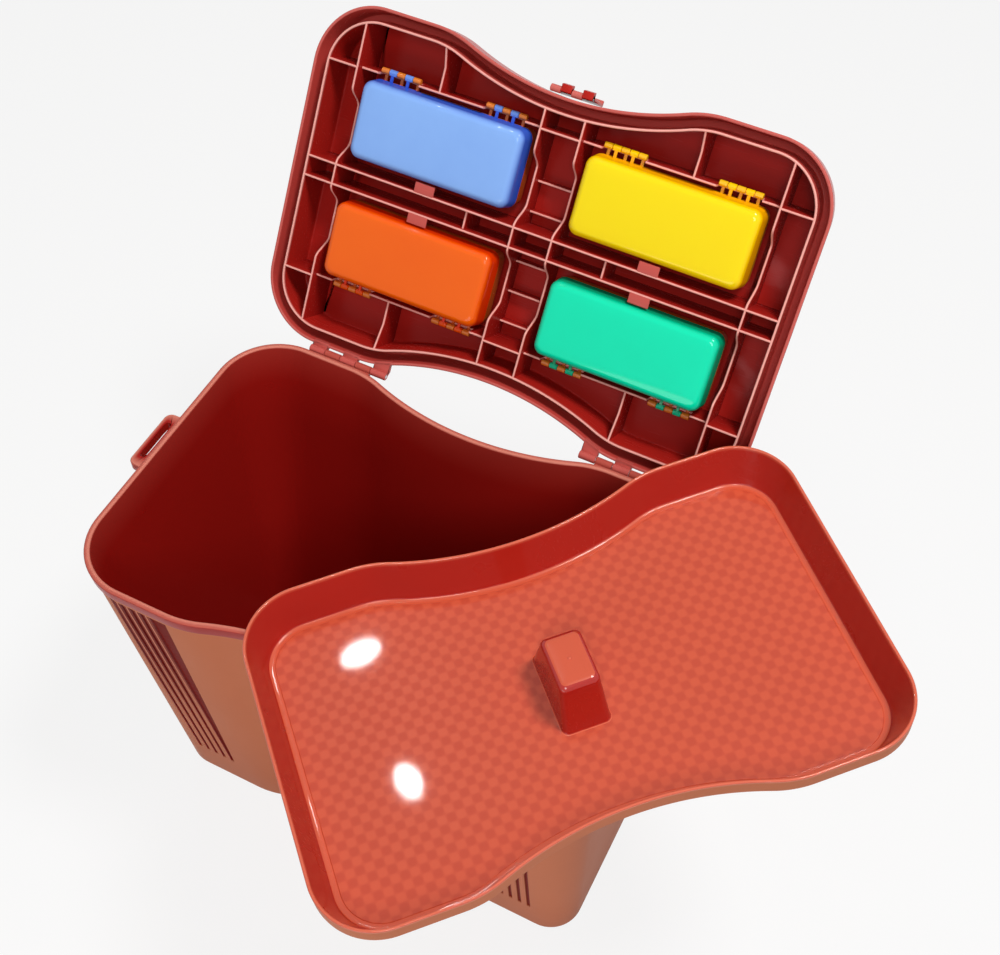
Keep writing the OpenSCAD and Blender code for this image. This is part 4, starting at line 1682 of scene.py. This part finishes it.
@dataclass(frozen=True)
class Lamp:
    """An elliptic soft lamp that faces the point aim."""

    name: str
    at: tuple
    size: tuple
    watts: float
    aim: tuple = (0.1, 0.0, 0.35)

    def make(self) -> None:
        """Hangs the lamp."""
        data = bpy.data.lights.new(self.name, "AREA")
        data.shape, data.energy = "ELLIPSE", self.watts
        data.size, data.size_y = self.size
        made = bpy.data.objects.new(self.name, data)
        made.location = self.at
        towards = Vector(self.aim) - Vector(self.at)
        made.rotation_euler = towards.to_track_quat("-Z", "Y").to_euler()
        bpy.context.scene.collection.objects.link(made)


LAMPS = (
    Lamp("key", (0.75, 0.15, 2.3), (0.5, 0.5), 28),
    Lamp("front", (0.7, -1.5, 2.2), (0.8, 0.8), 17),
    Lamp("low", (0.1, -2.3, 0.7), (1.4, 0.8), 9),
    Lamp("spot_near", (-0.62, 0.39, 1.74), (0.075, 0.042), 0.65, (0.026, -0.097, 0.362)),
    Lamp("spot_far", (-0.45, 0.23, 1.81), (0.045, 0.065), 0.6, (0.103, -0.162, 0.362)),
)


@dataclass(frozen=True)
class Studio:
    """Pale floor, surround, lamps and the camera."""

    camera_at: tuple = (0.32135, -0.48380, 1.18846)
    forward: tuple = (-0.2551, 0.5252, -0.8118)
    right: tuple = (0.8930, 0.4499, 0.0105)
    lens: float = 51.13
    shift: tuple = (-0.0049, 0.0377)
    floor_half: float = 8.0
    floor_colour: tuple = (0.82, 0.81, 0.8, 1)
    floor_glow: float = 0.84
    sky_colour: tuple = (1.0, 0.99, 0.97, 1)
    sky_strength: float = 0.16

    def floor(self) -> None:
        """A floor that the camera and mirrors see as nearly white, with a soft shadow."""
        mesh = bpy.data.meshes.new("floor")
        h = self.floor_half
        mesh.from_pydata([(-h, -h, 0), (h, -h, 0), (h, h, 0), (-h, h, 0)], [], [(0, 1, 2, 3)])
        plane = bpy.data.objects.new("floor", mesh)
        bpy.context.scene.collection.objects.link(plane)
        g = Graph(bpy.data.materials.new("pale_floor"))
        share = g.seen() * self.floor_glow
        matt = g.node("ShaderNodeBsdfDiffuse", {}, {"Color": self.floor_colour})
        glow = g.node("ShaderNodeEmission", {}, {"Color": WHITE, "Strength": 1.0})
        both = g.node("ShaderNodeMixShader", {}, {0: share, 1: matt, 2: glow})
        g.node("ShaderNodeOutputMaterial", {}, {"Surface": both})
        mesh.materials.append(g.owner)

    def world(self) -> None:
        """An even pale surround, white where the camera or a mirror sees it."""
        g = Graph(bpy.data.worlds.new("surround"))
        bpy.context.scene.world = g.owner
        dim = g.node("ShaderNodeBackground", {},
                     {"Color": self.sky_colour, "Strength": self.sky_strength})
        white = g.node("ShaderNodeBackground", {}, {"Color": WHITE, "Strength": 1.0})
        mix = g.node("ShaderNodeMixShader", {}, {0: g.seen(), 1: dim, 2: white})
        g.node("ShaderNodeOutputWorld", {}, {"Surface": mix})

    def camera(self) -> None:
        """The camera at the photograph's place and angle."""
        data = bpy.data.cameras.new("camera")
        data.lens, data.sensor_width = self.lens, 36.0
        data.shift_x, data.shift_y = self.shift
        made = bpy.data.objects.new("camera", data)
        ahead = Vector(self.forward).normalized()
        right = Vector(self.right)
        right = (right - ahead * right.dot(ahead)).normalized()
        up = right.cross(ahead)
        turn = Matrix((right, up, -ahead)).transposed().to_4x4()
        made.matrix_world = Matrix.Translation(self.camera_at) @ turn
        bpy.context.scene.collection.objects.link(made)
        bpy.context.scene.camera = made

    def make(self) -> None:
        """Sets the whole stage."""
        bpy.context.scene.view_settings.view_transform = "Standard"
        self.floor()
        self.world()
        self.camera()
        for lamp in LAMPS:
            lamp.make()


def main() -> None:
    """Builds every piece in order and reports it."""
    logging.basicConfig(level=logging.INFO, format="%(name)s: %(message)s")
    Studio().make()
    SeatBox().make()
    Lid().make()
    Tray().make()
    for case in CASES:
        case.make()
    dress_pins()


if __name__ == "__main__":
    main()
